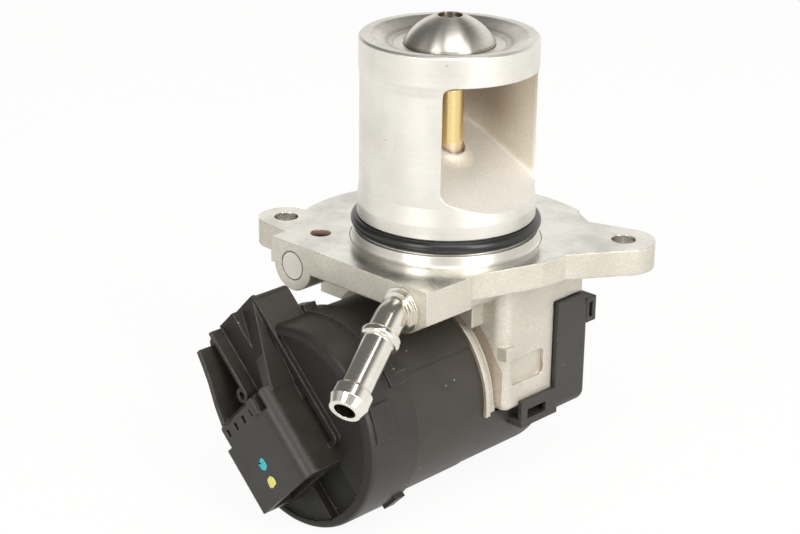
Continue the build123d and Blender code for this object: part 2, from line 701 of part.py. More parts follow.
def stem_yoke():
    half = YOKE_WIDTH / 2
    frame_part = block(-half, half, -YOKE_DEPTH / 2, YOKE_DEPTH / 2, YOKE_BOTTOM_Z, YOKE_TOP_Z)
    frame_part = fillet(frame_part.edges().filter_by(Axis.Y), YOKE_CORNER_RADIUS)
    slot_width = YOKE_WIDTH - 2 * YOKE_WALL
    slot = SlotOverall(slot_width, 2 * SLOT_HALF_HEIGHT)
    slot = prism_y(slot, -YOKE_DEPTH, YOKE_DEPTH, 0, CRANK_PIN_Z)
    neck = disc_z(YOKE_NECK_RADIUS, YOKE_TOP_Z - YOKE_PIN_RISE, SPRING_SEAT_Z)
    body = frame_part - slot + neck
    body -= disc_z(STEM_RADIUS, STEM_FOOT_Z, SPRING_SEAT_Z + 1)
    return body - disc_y(YOKE_PIN_RADIUS, -YOKE_WIDTH, YOKE_WIDTH, 0, YOKE_PIN_Z)


def yoke_pin():
    half = YOKE_NECK_RADIUS - YOKE_PIN_INSET
    return disc_y(YOKE_PIN_RADIUS, -half, half, 0, YOKE_PIN_Z)


def crank_disc():
    y1 = CRANK_DISC_Y + CRANK_DISC_THICKNESS
    disc = disc_y(CRANK_DISC_RADIUS, CRANK_DISC_Y, y1, CRANK_AXIS_X, CRANK_AXIS_Z)
    disc -= disc_y(OUTPUT_SHAFT_RADIUS, CRANK_DISC_Y - 1, y1 + 1, CRANK_AXIS_X, CRANK_AXIS_Z)
    pin = disc_y(CRANK_PIN_RADIUS, -YOKE_DEPTH / 2, CRANK_DISC_Y, CRANK_PIN_X, CRANK_PIN_Z)
    return disc + pin


def crank_roller():
    half = YOKE_DEPTH / 2
    return ring_y(ROLLER_RADIUS, CRANK_PIN_RADIUS, -half, half, CRANK_PIN_X, CRANK_PIN_Z)


def output_shaft():
    end = COVER_INNER_Y - SHAFT_END_GAP
    return disc_y(OUTPUT_SHAFT_RADIUS, CRANK_DISC_Y, end, CRANK_AXIS_X, CRANK_AXIS_Z)


def output_bush():
    bore = OUTPUT_SHAFT_RADIUS + OUTPUT_SHAFT_CLEARANCE
    y0 = CRANK_DISC_Y + CRANK_DISC_THICKNESS + CRANK_BUSH_GAP
    y1 = SECTOR_Y - SECTOR_BUSH_GAP
    return ring_y(OUTPUT_BUSH_RADIUS, bore, y0, y1, CRANK_AXIS_X, CRANK_AXIS_Z)


def sector_gear():
    """Toothed quarter that swings the crank: only the teeth that come into mesh are there."""
    mesh_angle = angle_to(CRANK_AXIS_X, CRANK_AXIS_Z, WHEEL_AXIS_X, WHEEL_AXIS_Z)
    pitch = 360 / SECTOR_TEETH
    travel = math.ceil(CRANK_SWING / pitch)
    points = toothed_outline(SECTOR_TEETH, SECOND_MODULE, mesh_angle + pitch / 2, -travel - 2, 1)
    sector = make_face(Polyline((0, 0), *points, close=True))
    sector = sector + Circle(SECTOR_HUB_RADIUS)
    middle = mesh_angle - CRANK_SWING / 2
    for index in range(SECTOR_HOLES):
        a = math.radians(middle + (index - (SECTOR_HOLES - 1) / 2) * SECTOR_HOLE_STEP)
        place = Pos(SECTOR_HOLE_PLACE * math.cos(a), SECTOR_HOLE_PLACE * math.sin(a))
        sector -= place * Circle(SECTOR_HOLE_RADIUS)
    gear = prism_y(sector, SECTOR_Y, SECTOR_Y + SECTOR_WIDTH, CRANK_AXIS_X, CRANK_AXIS_Z)
    return gear - disc_y(OUTPUT_SHAFT_RADIUS, 0, COVER_BACK_Y, CRANK_AXIS_X, CRANK_AXIS_Z)


def intermediate_gear():
    to_motor = angle_to(WHEEL_AXIS_X, WHEEL_AXIS_Z, MOTOR_X, MOTOR_Z)
    to_crank = angle_to(WHEEL_AXIS_X, WHEEL_AXIS_Z, CRANK_AXIS_X, CRANK_AXIS_Z)
    wheel = toothed_outline(WHEEL_TEETH, FIRST_MODULE, to_motor + 180 / WHEEL_TEETH)
    small = toothed_outline(SMALL_TEETH, SECOND_MODULE, to_crank)
    wheel_face = make_face(Polyline(*wheel, close=True))
    for index in range(WHEEL_HOLES):
        a = 2 * math.pi * index / WHEEL_HOLES
        place = Pos(WHEEL_HOLE_PLACE * math.cos(a), WHEEL_HOLE_PLACE * math.sin(a))
        wheel_face -= place * Circle(WHEEL_HOLE_RADIUS)
    small_face = make_face(Polyline(*small, close=True))
    y_end = WHEEL_Y + WHEEL_WIDTH
    gear = prism_y(wheel_face, WHEEL_Y, y_end, WHEEL_AXIS_X, WHEEL_AXIS_Z)
    gear += prism_y(small_face, SECTOR_Y, WHEEL_Y, WHEEL_AXIS_X, WHEEL_AXIS_Z)
    bore = GEAR_PIN_RADIUS + GEAR_PIN_CLEARANCE
    return gear - disc_y(bore, 0, COVER_BACK_Y, WHEEL_AXIS_X, WHEEL_AXIS_Z)


def gear_pin():
    return disc_y(GEAR_PIN_RADIUS, PLATE_Y + GEAR_PIN_FLOOR, COVER_INNER_Y, WHEEL_AXIS_X, WHEEL_AXIS_Z)


def motor_pinion():
    to_wheel = angle_to(MOTOR_X, MOTOR_Z, WHEEL_AXIS_X, WHEEL_AXIS_Z)
    outline = make_face(Polyline(*toothed_outline(PINION_TEETH, FIRST_MODULE, to_wheel), close=True))
    y0 = WHEEL_Y - PINION_OVERHANG
    gear = prism_y(outline, y0, SHAFT_END_Y, MOTOR_X, MOTOR_Z)
    return gear - disc_y(MOTOR_SHAFT_RADIUS, 0, COVER_BACK_Y, MOTOR_X, MOTOR_Z)


def motor_shaft():
    return disc_y(MOTOR_SHAFT_RADIUS, SHAFT_FRONT_Y, SHAFT_END_Y, MOTOR_X, MOTOR_Z)


def sensor_magnet():
    front = SHAFT_FRONT_Y - SENSOR_MAGNET_LENGTH
    return disc_y(SENSOR_MAGNET_RADIUS, front, SHAFT_FRONT_Y, MOTOR_X, MOTOR_Z)


def rotor_core():
    core = disc_y(ROTOR_RADIUS, ROTOR_FRONT_Y, ROTOR_BACK_Y, MOTOR_X, MOTOR_Z)
    reach = ROTOR_RADIUS - ROTOR_SLOT_DEPTH
    slot = block(reach, ROTOR_RADIUS + 1, ROTOR_FRONT_Y - 1, ROTOR_BACK_Y + 1,
                 -ROTOR_SLOT_WIDTH / 2, ROTOR_SLOT_WIDTH / 2)
    for index in range(ROTOR_SLOTS):
        core -= MOTOR * Rot(0, 360 * index / ROTOR_SLOTS, 0) * slot
    return core - disc_y(MOTOR_SHAFT_RADIUS, ROTOR_FRONT_Y - 1, ROTOR_BACK_Y + 1, MOTOR_X, MOTOR_Z)


def rotor_winding():
    """Coils lying in the rotor's slots, joined by the end turns at both faces."""
    front = ROTOR_FRONT_Y - WINDING_OVERHANG
    back = ROTOR_BACK_Y + WINDING_OVERHANG
    outer = ROTOR_RADIUS - WINDING_INSET
    coils = disc_y(outer, front, ROTOR_FRONT_Y, MOTOR_X, MOTOR_Z)
    coils += disc_y(outer, ROTOR_BACK_Y, back, MOTOR_X, MOTOR_Z)
    inner = ROTOR_RADIUS - ROTOR_SLOT_DEPTH
    bar = block(inner, outer, front, back, -ROTOR_SLOT_WIDTH / 2, ROTOR_SLOT_WIDTH / 2)
    for index in range(ROTOR_SLOTS):
        coils += MOTOR * Rot(0, 360 * index / ROTOR_SLOTS, 0) * bar
    coils -= disc_y(ROTOR_CORE_RADIUS, front - 1, ROTOR_FRONT_Y, MOTOR_X, MOTOR_Z)
    return coils - disc_y(ROTOR_CORE_RADIUS, ROTOR_BACK_Y, back + 1, MOTOR_X, MOTOR_Z)


def commutator():
    bore = MOTOR_SHAFT_RADIUS
    body = ring_y(COMMUTATOR_RADIUS, bore, COMMUTATOR_FRONT_Y, ROTOR_FRONT_Y, MOTOR_X, MOTOR_Z)
    riser = ring_y(COMMUTATOR_RADIUS + RISER_RISE, bore, COMMUTATOR_BACK_Y,
                   ROTOR_FRONT_Y - WINDING_OVERHANG, MOTOR_X, MOTOR_Z)
    return body + riser


def magnets():
    inner = MAGNET_RADIUS - MAGNET_WALL
    ring = ring_y(MAGNET_RADIUS, inner, FLUX_FRONT_Y + MAGNET_SET_BACK, FLUX_BACK_Y, MOTOR_X, MOTOR_Z)
    pair = []
    for middle in (90, 270):
        slice_ = wedge_y(MAGNET_RADIUS, middle - MAGNET_SPAN / 2, middle + MAGNET_SPAN / 2,
                         FLUX_FRONT_Y, FLUX_BACK_Y + 1)
        pair.append(ring & slice_)
    return Compound(children=[item.solids()[0] for item in pair])


def flux_ring():
    return ring_y(FLUX_RADIUS, MAGNET_RADIUS, FLUX_FRONT_Y, FLUX_BACK_Y, MOTOR_X, MOTOR_Z)


def motor_can():
    body = disc_y(CAN_RADIUS, CAN_FRONT_Y, CAN_BACK_Y, MOTOR_X, MOTOR_Z)
    pad = disc_y(CAN_RADIUS + CAN_PAD_RISE, CAN_FRONT_Y, CAN_BACK_Y - 1, MOTOR_X, MOTOR_Z)
    body += pad & wedge_y(CAN_RADIUS, *CAN_PAD_ANGLES, CAN_FRONT_Y, CAN_BACK_Y)
    body -= disc_y(FLUX_RADIUS, CAN_FRONT_Y - 1, FLUX_BACK_Y, MOTOR_X, MOTOR_Z)
    body -= disc_y(BEARING_RADIUS + SHAFT_ROOM, FLUX_BACK_Y - 1, CAN_BACK_Y + 1, MOTOR_X, MOTOR_Z)
    body -= motor_seal()
    for x in (-SCREW_SPREAD, SCREW_SPREAD):
        body -= disc_y(SCREW_RADIUS, FLUX_BACK_Y - 1, CAN_BACK_Y + 1, MOTOR_X + x, MOTOR_Z)
    return body


def motor_seal():
    y0 = CAN_BACK_Y - MOTOR_SEAL_DEPTH
    return ring_y(MOTOR_SEAL_OUTER, MOTOR_SEAL_INNER, y0, CAN_BACK_Y, MOTOR_X, MOTOR_Z)


def motor_screws():
    screws = []
    head_y = FLUX_BACK_Y - SCREW_HEAD_HEIGHT
    for x in (MOTOR_X - SCREW_SPREAD, MOTOR_X + SCREW_SPREAD):
        shank = disc_y(SCREW_RADIUS, FLUX_BACK_Y, CAN_BACK_Y + MOTOR_SCREW_REACH, x, MOTOR_Z)
        head = disc_y(SCREW_HEAD_RADIUS, head_y, FLUX_BACK_Y, x, MOTOR_Z)
        screws.append(shank + head)
    return Compound(children=[item.solids()[0] for item in screws])


def rear_bearing():
    bore = MOTOR_SHAFT_RADIUS + MOTOR_SHAFT_CLEARANCE
    return ring_y(BEARING_RADIUS, bore, CAN_BACK_Y, CAN_BACK_Y + BEARING_LENGTH, MOTOR_X, MOTOR_Z)


def front_bearing():
    bore = MOTOR_SHAFT_RADIUS + MOTOR_SHAFT_CLEARANCE
    y1 = CARD_Y + CARD_THICKNESS / 2
    return ring_y(BEARING_RADIUS, bore, y1 - BEARING_LENGTH, y1, MOTOR_X, MOTOR_Z)


def brush_card():
    """Plate across the end cap that holds the front bearing and the two brush boxes."""
    y0, y1 = CARD_Y - CARD_THICKNESS / 2, CARD_Y + CARD_THICKNESS / 2
    inner = CAP_RADIUS - CAP_WALL
    card = disc_y(inner, y0, y1, MOTOR_X, MOTOR_Z)
    for index in range(CARD_HOLES):
        a = 2 * math.pi * (index + 0.5) / CARD_HOLES
        x = MOTOR_X + CARD_HOLE_PLACE * math.cos(a)
        z = MOTOR_Z + CARD_HOLE_PLACE * math.sin(a)
        card -= disc_y(CARD_HOLE_RADIUS, y0 - 1, y1 + 1, x, z)
    half = BRUSH_WIDTH / 2 + BRUSH_BOX_WALL
    box_y = y1 + BRUSH_WIDTH + BRUSH_BOX_WALL
    for side in (-1, 1):
        x0 = MOTOR_X + side * (COMMUTATOR_RADIUS + BRUSH_BOX_GAP)
        x1 = x0 + side * BRUSH_LENGTH
        card += block(min(x0, x1), max(x0, x1), y1, box_y, MOTOR_Z - half, MOTOR_Z + half)
    card -= disc_y(BEARING_RADIUS, y0 - BEARING_LENGTH, y1 + BEARING_LENGTH, MOTOR_X, MOTOR_Z)
    return card - brushes_room()


def brush_span():
    """Y limits of the brushes, in front of the brush card."""
    y0 = CARD_Y + CARD_THICKNESS / 2
    return y0, y0 + BRUSH_WIDTH


def brushes_room():
    y0, y1 = brush_span()
    half = BRUSH_WIDTH / 2
    reach = COMMUTATOR_RADIUS + BRUSH_LENGTH
    return block(MOTOR_X - reach, MOTOR_X + reach, y0, y1, MOTOR_Z - half, MOTOR_Z + half)


def brushes():
    """Two carbon blocks curved to the commutator."""
    y0, y1 = brush_span()
    pair = brushes_room() - disc_y(COMMUTATOR_RADIUS + BRUSH_GAP, y0 - 1, y1 + 1, MOTOR_X, MOTOR_Z)
    return Compound(children=list(pair.solids()))


def head_box(u0, u1, w0, w1, y0, y1):
    """Box in the connector head's own tilted directions: u along the head, w across it."""
    return HEAD * block(u0, u1, y0, y1, w0, w1)


def head_ramp(points, w0, w1):
    """Outline drawn along the head and in depth, carried across it from w0 to w1."""
    face = make_face(Polyline(*[(u, y, 0) for u, y in points], close=True))
    return HEAD * (Pos(0, 0, w0) * extrude(face, amount=w1 - w0))


def head_prism(points, y0, y1):
    """Outline drawn along and across the head, carried in depth from y0 to y1."""
    return HEAD * prism_y(make_face(Polyline(*points, close=True)), y0, y1)


def fin_wall():
    """Thin raised edge along the head's high side and round its corner."""
    top = CAP_FACE_Y - FIN_RISE
    wall = head_box(HEAD_END_U, HEAD_PLATE_U, FIN_END_W, HEAD_TOP_W, top, CAP_FACE_Y + 1)
    inner_u, inner_w = HEAD_PLATE_U - FIN_WALL, HEAD_TOP_W - FIN_WALL
    return wall - head_box(HEAD_END_U - 1, inner_u, FIN_END_W - 1, inner_w, top - 1, CAP_FACE_Y + 2)


def screen_wall():
    """Thin outer wall of the head, which stands as high as the plug housing."""
    outer = [(u, w - SCREEN_WALL) for u, w in reversed(SCREEN_LINE)]
    return head_prism([*SCREEN_LINE, *outer], CAP_FACE_Y - SCREEN_RISE, CAP_FACE_Y + 1)


def connector_head():
    """Diagonal head on the cap: stepped levels that rise towards the plug housing."""
    face = CAP_FACE_Y
    base = head_box(HEAD_END_U, HEAD_PLATE_U, HEAD_BOTTOM_W, HEAD_TOP_W, face, HEAD_BACK_Y) + fin_wall()
    corners = [edge for edge in base.edges().filter_by(Axis.Y) if edge.length > HEAD_DEPTH - 1]
    base = fillet(corners, HEAD_CORNER_RADIUS)
    start = CONNECTOR_START_U
    shelf = head_box(HEAD_END_U + 1, start + 2, *SHELF_W, face - SHELF_RISE, face + 1)
    ridge = head_prism(
        [(HEAD_END_U, SHELF_W[1]), (start + 2, SHELF_W[1]), (start + 2, RIDGE_W[1]),
         (HEAD_END_U, RIDGE_W[0])],
        face - CONNECTOR_DEPTH, face + 1,
    )
    ridge &= head_ramp(
        [(HEAD_END_U, face + 1), (HEAD_END_U, face - RIDGE_RISES[0]), (start, face - RIDGE_RISES[1]),
         (start + 2, face - RIDGE_RISES[1]), (start + 2, face + 1)],
        HEAD_BOTTOM_W, HEAD_TOP_W,
    )
    rib = head_box(RIB_END_U, RING_BOSS[0], SHELF_W[0] - RIB_THICKNESS / 2, SHELF_W[0] + RIB_THICKNESS / 2,
                   face - RIB_RISE, face + 1)
    boss_front = face - RIB_RISE
    boss = HEAD * disc_y(RING_BOSS_RADIUS, boss_front, face + 1, *RING_BOSS)
    bore = HEAD * disc_y(RING_BOSS_BORE, boss_front - 1, boss_front + RING_BOSS_DEPTH, *RING_BOSS)
    pocket = head_box(*SIDE_POCKET_U, RIDGE_W[1] - 1, HEAD_TOP_W - FIN_WALL,
                      face - 1, face + SIDE_POCKET_DEPTH)
    return (base - pocket) + shelf + ridge + screen_wall() + rib + boss - bore


def connector_shell():
    """Plug housing with its socket open along the head."""
    y0, y1 = CONNECTOR_FACE_Y, CAP_FACE_Y + 1
    length = CONNECTOR_END_U - CONNECTOR_START_U
    shell = head_box(CONNECTOR_START_U, CONNECTOR_END_U, CONNECTOR_LOW_W, CONNECTOR_HIGH_W, y0, y1)
    long_edges = shell.edges().filter_by(lambda edge: abs(edge.length - length) < 0.01)
    front_edges = long_edges.sort_by(Axis.Y)[:2]
    shell = fillet(front_edges.sort_by(Axis.Z)[-1:], CONNECTOR_ROUND)
    reach = CONNECTOR_BEVEL + 2
    shell -= head_ramp(
        [(CONNECTOR_START_U - 1, y0 + reach - 1), (CONNECTOR_START_U - 1, y0 - 1),
         (CONNECTOR_START_U + reach - 1, y0 - 1)],
        2 * CONNECTOR_LOW_W, 2 * CONNECTOR_HIGH_W,
    )
    shell -= head_box(CONNECTOR_END_U - SOCKET_DEPTH, CONNECTOR_END_U + 1, SOCKET_LOW_W, SOCKET_HIGH_W,
                      y0 + CONNECTOR_WALL, SOCKET_BACK_Y)
    for index in range(WITNESS_SLOTS):
        w = WITNESS_SLOT_W + WITNESS_SLOT_STEP * index
        half = WITNESS_SLOT_WIDTH / 2
        shell -= head_box(*WITNESS_SLOT_U, w - half, w + half, y0 - 1, y0 + WITNESS_SLOT_DEPTH)
    shell -= head_box(CONNECTOR_START_U - 1, CONNECTOR_NOTCH_U, CONNECTOR_LOW_W - 1,
                      CONNECTOR_LOW_W + CONNECTOR_NOTCH_W, y0 - 1, CAP_FACE_Y)
    shell -= head_box(CONNECTOR_START_U - 1, LATCH_U[1], *LATCH_POCKET_W, y0 - 1, y0 + LATCH_POCKET_DEPTH)
    return shell + head_box(*LATCH_U, *LATCH_W, y0 - LATCH_RISE, y0 + 1)


def terminal_boxes():
    y_mid = (CONNECTOR_FACE_Y + CONNECTOR_WALL + SOCKET_BACK_Y) / 2
    w_mid = (SOCKET_LOW_W + SOCKET_HIGH_W) / 2
    root = CONNECTOR_END_U - SOCKET_DEPTH
    pins = []
    for index in range(TERMINAL_COUNT):
        w = w_mid + (index - (TERMINAL_COUNT - 1) / 2) * TERMINAL_PITCH
        pins.append(head_box(root - TERMINAL_ROOT, root + TERMINAL_REACH, w - TERMINAL_WIDTH / 2,
                             w + TERMINAL_WIDTH / 2, y_mid - TERMINAL_THICKNESS / 2,
                             y_mid + TERMINAL_THICKNESS / 2))
    return pins


def connector_terminals():
    return Compound(children=[pin.solids()[0] for pin in terminal_boxes()])


def cap_arc(angles, rise, y0, y1):
    """Raised patch on the cap's round side."""
    patch = ring_y(CAP_RADIUS + rise, CAP_RADIUS - 1, y0, y1, MOTOR_X, MOTOR_Z)
    return patch & wedge_y(CAP_RADIUS, *angles, y0 - 1, y1 + 1)


def cap_channel():
    """Trough in the cap's face in line with the socket: its walls, and the room inside them."""
    u0, u1 = CHANNEL_U
    w0, w1 = CHANNEL_W
    floor_y = CAP_FACE_Y + CHANNEL_DEPTH
    walls = head_box(u0 - CHANNEL_WALL, u1, w0 - CHANNEL_SIDE, w1 + CHANNEL_SIDE,
                     CAP_FACE_Y + CAP_RECESS, floor_y + CHANNEL_FLOOR)
    walls &= disc_y(CAP_RADIUS - 1, CAP_FACE_Y, floor_y + 2 * CHANNEL_FLOOR, MOTOR_X, MOTOR_Z)
    return walls, head_box(u0, u1 - CHANNEL_SIDE, w0, w1, CAP_FACE_Y - 1, floor_y)


def end_cap():
    cup = disc_y(CAP_RADIUS, CAP_FACE_Y, CAP_BACK_Y, MOTOR_X, MOTOR_Z)
    cup = fillet(cup.edges().filter_by(GeomType.CIRCLE).sort_by(Axis.Y)[0], CAP_EDGE_RADIUS)
    cup -= disc_y(CAP_RADIUS - CAP_RIM_WIDTH, CAP_FACE_Y - 1, CAP_FACE_Y + CAP_RECESS, MOTOR_X, MOTOR_Z)
    body = cup + connector_head() + connector_shell()
    body += cap_arc(CAP_PAD_ANGLES, CAP_PAD_RISE, HEAD_BACK_Y, CAP_BACK_Y)
    label_y = CAP_FACE_Y + CAP_EDGE_RADIUS
    body += cap_arc(CAP_LABEL_ANGLES, CAP_PAD_RISE, label_y, label_y + CAP_LABEL_LENGTH)
    half = CAP_TAB_WIDTH / 2
    tab_y = CAP_BACK_Y - CAP_TAB_LENGTH
    tab = block(CAP_RADIUS - 1, CAP_RADIUS + CAP_TAB_RISE, tab_y, CAP_BACK_Y, -half, half)
    for angle in CAP_TAB_ANGLES:
        body += MOTOR * Rot(0, -angle, 0) * tab
    half = CLIP_WIDTH / 2
    clip = block(CAP_RADIUS - 2, CAP_RADIUS + CLIP_RISE, HEAD_BACK_Y, HEAD_BACK_Y + CLIP_LENGTH, -half, half)
    body += MOTOR * Rot(0, -CLIP_ANGLE, 0) * clip
    room_y = CAP_FACE_Y + CAP_RECESS + CAP_WALL
    body -= disc_y(CAP_RADIUS - CAP_WALL, room_y, CAP_BACK_Y + 1, MOTOR_X, MOTOR_Z)
    channel_walls, channel = cap_channel()
    body = (body + channel_walls) - channel
    lip_outer = FLUX_RADIUS - CAP_LIP_FIT
    lip_inner = lip_outer - CAP_LIP_WALL
    shelf_y = CAP_BACK_Y - CAP_SHELF
    lip = ring_y(lip_outer, lip_inner, shelf_y, CAP_BACK_Y + CAP_LIP_LENGTH, MOTOR_X, MOTOR_Z)
    shelf = ring_y(CAP_RADIUS - 1, lip_inner, shelf_y, CAP_BACK_Y, MOTOR_X, MOTOR_Z)
    body += lip + shelf
    for pin in terminal_boxes():
        body -= pin
    return body


def control_board():
    y0 = CAP_FACE_Y + CAP_RECESS + CAP_WALL
    return head_box(*BOARD_U, -BOARD_HALF_WIDTH, BOARD_HALF_WIDTH, y0, y0 + BOARD_THICKNESS)


def flange_plate():
    """Flange outline: a round back, a squared front and two ears."""
    right = make_face(Polyline(
        (0, FRONT_FACE_Y), (FRONT_RIGHT_X, FRONT_FACE_Y), *RIGHT_SIDE, RIGHT_EAR_FOOT, RIGHT_EAR,
        RIGHT_EAR_HEAD, *BACK_STEP, close=True,
    ))
    left_x = RIGHT_SIDE[1][0] - 2 * FLANGE_RADIUS
    round_side = Polyline(
        (left_x, FRONT_FACE_Y + RIGHT_EAR_RADIUS / 2), (BACK_STEP[1][0], FRONT_FACE_Y + RIGHT_EAR_RADIUS / 2),
        (BACK_STEP[1][0], 2 * FLANGE_RADIUS), (left_x, 2 * FLANGE_RADIUS), close=True,
    )
    left = Circle(FLANGE_RADIUS) & make_face(round_side)
    ear_x, ear_y = LEFT_EAR
    front = make_face(Polyline(
        (FRONT_LEFT_X, FRONT_FACE_Y), (0, FRONT_FACE_Y), (0, 0), (LEFT_WEB_X, 0),
        (ear_x, ear_y + LEFT_EAR_RADIUS), LEFT_EAR,
        (ear_x, ear_y - LEFT_EAR_RADIUS), (FRONT_LEFT_X, LEFT_NOTCH_Y), close=True,
    ))
    outline = right + left + front
    outline += Pos(*LEFT_EAR) * Circle(LEFT_EAR_RADIUS)
    outline += Pos(*RIGHT_EAR) * Circle(RIGHT_EAR_RADIUS)
    return Pos(0, 0, -FLANGE_THICKNESS) * extrude(outline, amount=FLANGE_THICKNESS)


def coolant_lobes():
    back = CASE_FRONT_Y + LOBE_ROOT
    left = disc_y(PLUG_LOBE_RADIUS, FRONT_FACE_Y, back, PLUG_X, PLUG_Z)
    right = disc_y(NOZZLE_LOBE_RADIUS, FRONT_FACE_Y, back, NOZZLE_X, NOZZLE_Z)
    corner = prism_y(make_face(Polyline(
        (NOZZLE_X, 0), (FRONT_RIGHT_X, 0), (FRONT_RIGHT_X, CORNER_SIDE_Z), (CORNER_FOOT_X, CORNER_FOOT_Z),
        (NOZZLE_X, CORNER_FOOT_Z), close=True)), FRONT_FACE_Y, CORNER_BLOCK_BACK_Y)
    lobes = left + right + corner
    return lobes - above(0.0)


def coolant_bores():
    way_end = PORT_HOLE[1] + PLUG_WAY_PAST_PORT
    plugged = disc_y(PORT_HOLE_RADIUS, FRONT_FACE_Y - 1, way_end, PLUG_X, PLUG_Z)
    plug_seat = disc_y(PLUG_RADIUS, FRONT_FACE_Y - 1, FRONT_FACE_Y + PLUG_THICKNESS, PLUG_X, PLUG_Z)
    port = disc_z(PORT_HOLE_RADIUS, PLUG_Z, 1, *PORT_HOLE)
    seat = disc_y(NOZZLE_RADIUS, FRONT_FACE_Y - 1, FRONT_FACE_Y + NOZZLE_INSERT, NOZZLE_X, NOZZLE_Z)
    feed_end = FRONT_FACE_Y + NOZZLE_INSERT + NOZZLE_WAY_PAST_TUBE
    feed = disc_y(NOZZLE_BORE, FRONT_FACE_Y, feed_end, NOZZLE_X, NOZZLE_Z)
    return plugged + plug_seat + port + seat + feed


def gear_case():
    """Body of the casting below the flange, with the motor's seat in front."""
    case = rounded_box(CASE_LEFT_X, CASE_RIGHT_X, CASE_FRONT_Y, CASE_BACK_Y, CASE_BOTTOM_Z,
                       -FLANGE_THICKNESS + 2, CASE_EDGE_RADIUS)
    upright = case.edges().filter_by(Axis.Z).group_by(Axis.Y)[0]
    case = fillet(upright, CASE_CORNER_RADIUS)
    hood = block(CASE_LEFT_X, CASE_RIGHT_X, CASE_BACK_Y, HOOD_BACK_Y, HOOD_BOTTOM_Z, -FLANGE_THICKNESS + 1)
    seat = disc_y(MOTOR_FLANGE_RADIUS, MOTOR_FACE_Y, MOTOR_FACE_Y + MOTOR_FLANGE_THICKNESS,
                  MOTOR_X, MOTOR_Z)
    neck = disc_y(MOTOR_NECK_RADIUS, MOTOR_FACE_Y, CASE_FRONT_Y + 1, MOTOR_X, MOTOR_Z)
    seat = (seat + neck) - below(CASE_BOTTOM_Z)
    top_z = -FLANGE_THICKNESS + 1
    web = block(*WEB_X, *WEB_Y, WEB_BOTTOM_Z, top_z)
    web += block(WEB_NOTCH_X, WEB_X[1], *WEB_Y, WEB_NOTCH_Z, top_z)
    web -= disc_y(CAN_RADIUS + CAN_PAD_RISE + WEB_GAP, WEB_Y[0] - 1, MOTOR_FACE_Y, MOTOR_X, MOTOR_Z)
    boss = disc_y(BEARING_RADIUS + BEARING_WALL, MOTOR_FACE_Y, CASE_BACK_Y - 1, MOTOR_X, MOTOR_Z)
    rib = block(*RIB_X, MOTOR_FACE_Y, CASE_FRONT_Y + 1, RIB_BOTTOM_Z, top_z)
    nub = block(CASE_RIGHT_X - CASE_CORNER_RADIUS, CASE_RIGHT_X + NUB_RISE, *NUB_Y, *NUB_Z)
    return case + hood + seat + web + boss + rib + nub


def case_rooms():
    """Rooms inside the casting: the yoke chamber, the plate's seat and the shaft's way through."""
    chamber = block(CHAMBER_LEFT_X, CHAMBER_RIGHT_X, CHAMBER_FRONT_Y, PLATE_Y + 1,
                    CHAMBER_BOTTOM_Z, CHAMBER_TOP_Z)
    chamber = fillet(chamber.edges().filter_by(Axis.Y), CHAMBER_CORNER_RADIUS)
    seat = plate_outline(PLATE_Y, CASE_BACK_Y + 1)
    front = MOTOR_FACE_Y - 1
    shaft_way = disc_y(MOTOR_SHAFT_RADIUS + SHAFT_ROOM, front, COVER_BACK_Y, MOTOR_X, MOTOR_Z)
    bearing = disc_y(BEARING_RADIUS, front, MOTOR_FACE_Y + BEARING_LENGTH, MOTOR_X, MOTOR_Z)
    spring = disc_z(SPRING_BORE_RADIUS, SPRING_SEAT_Z - SPRING_ROOM, 1)
    sweep_room = block(*SECTOR_ROOM_X, CASE_BACK_Y - 1, SECTOR_ROOM_BACK_Y,
                       HOOD_BOTTOM_Z - 1, SECTOR_ROOM_TOP_Z)
    side_pocket = block(CASE_RIGHT_X - POCKET_DEPTH, CASE_RIGHT_X + 2, *POCKET_Y, *POCKET_Z)
    side_pocket = fillet(side_pocket.edges().filter_by(Axis.X), POCKET_CORNER_RADIUS)
    rooms = chamber + seat + shaft_way + bearing + spring + sweep_room + side_pocket
    for x in (-SCREW_SPREAD, SCREW_SPREAD):
        rooms += disc_y(SCREW_RADIUS, front, MOTOR_FACE_Y + MOTOR_SCREW_REACH, MOTOR_X + x, MOTOR_Z)
    for x, z in plate_screw_places():
        rooms += disc_y(SCREW_RADIUS, PLATE_Y - PLATE_SCREW_REACH, PLATE_Y + 1, x, z)
    return rooms


def plate_outline(y0, y1):
    return rounded_box(CHAMBER_LEFT_X - PLATE_MARGIN, PLATE_RIGHT_X, y0, y1,
                       CHAMBER_BOTTOM_Z - PLATE_MARGIN, CHAMBER_TOP_Z + PLATE_TOP_MARGIN, PLATE_CORNER_RADIUS)


def plate_screw_places():
    right_x = CHAMBER_RIGHT_X + PLATE_SCREW_INSET
    upper = (right_x, CHAMBER_TOP_Z - PLATE_SCREW_DROP)
    middle = (right_x, PLATE_SCREW_MIDDLE_Z)
    lower = (CHAMBER_LEFT_X - PLATE_SCREW_CORNER, CHAMBER_BOTTOM_Z - PLATE_SCREW_CORNER)
    return [upper, middle, lower]


def bearing_plate():
    plate = plate_outline(PLATE_Y, PLATE_Y + PLATE_THICKNESS)
    plate -= disc_y(OUTPUT_BUSH_RADIUS, 0, COVER_BACK_Y, CRANK_AXIS_X, CRANK_AXIS_Z)
    plate -= disc_y(GEAR_PIN_RADIUS, PLATE_Y + GEAR_PIN_FLOOR, COVER_BACK_Y, WHEEL_AXIS_X, WHEEL_AXIS_Z)
    for x, z in plate_screw_places():
        plate -= disc_y(SCREW_RADIUS, 0, COVER_BACK_Y, x, z)
    return plate


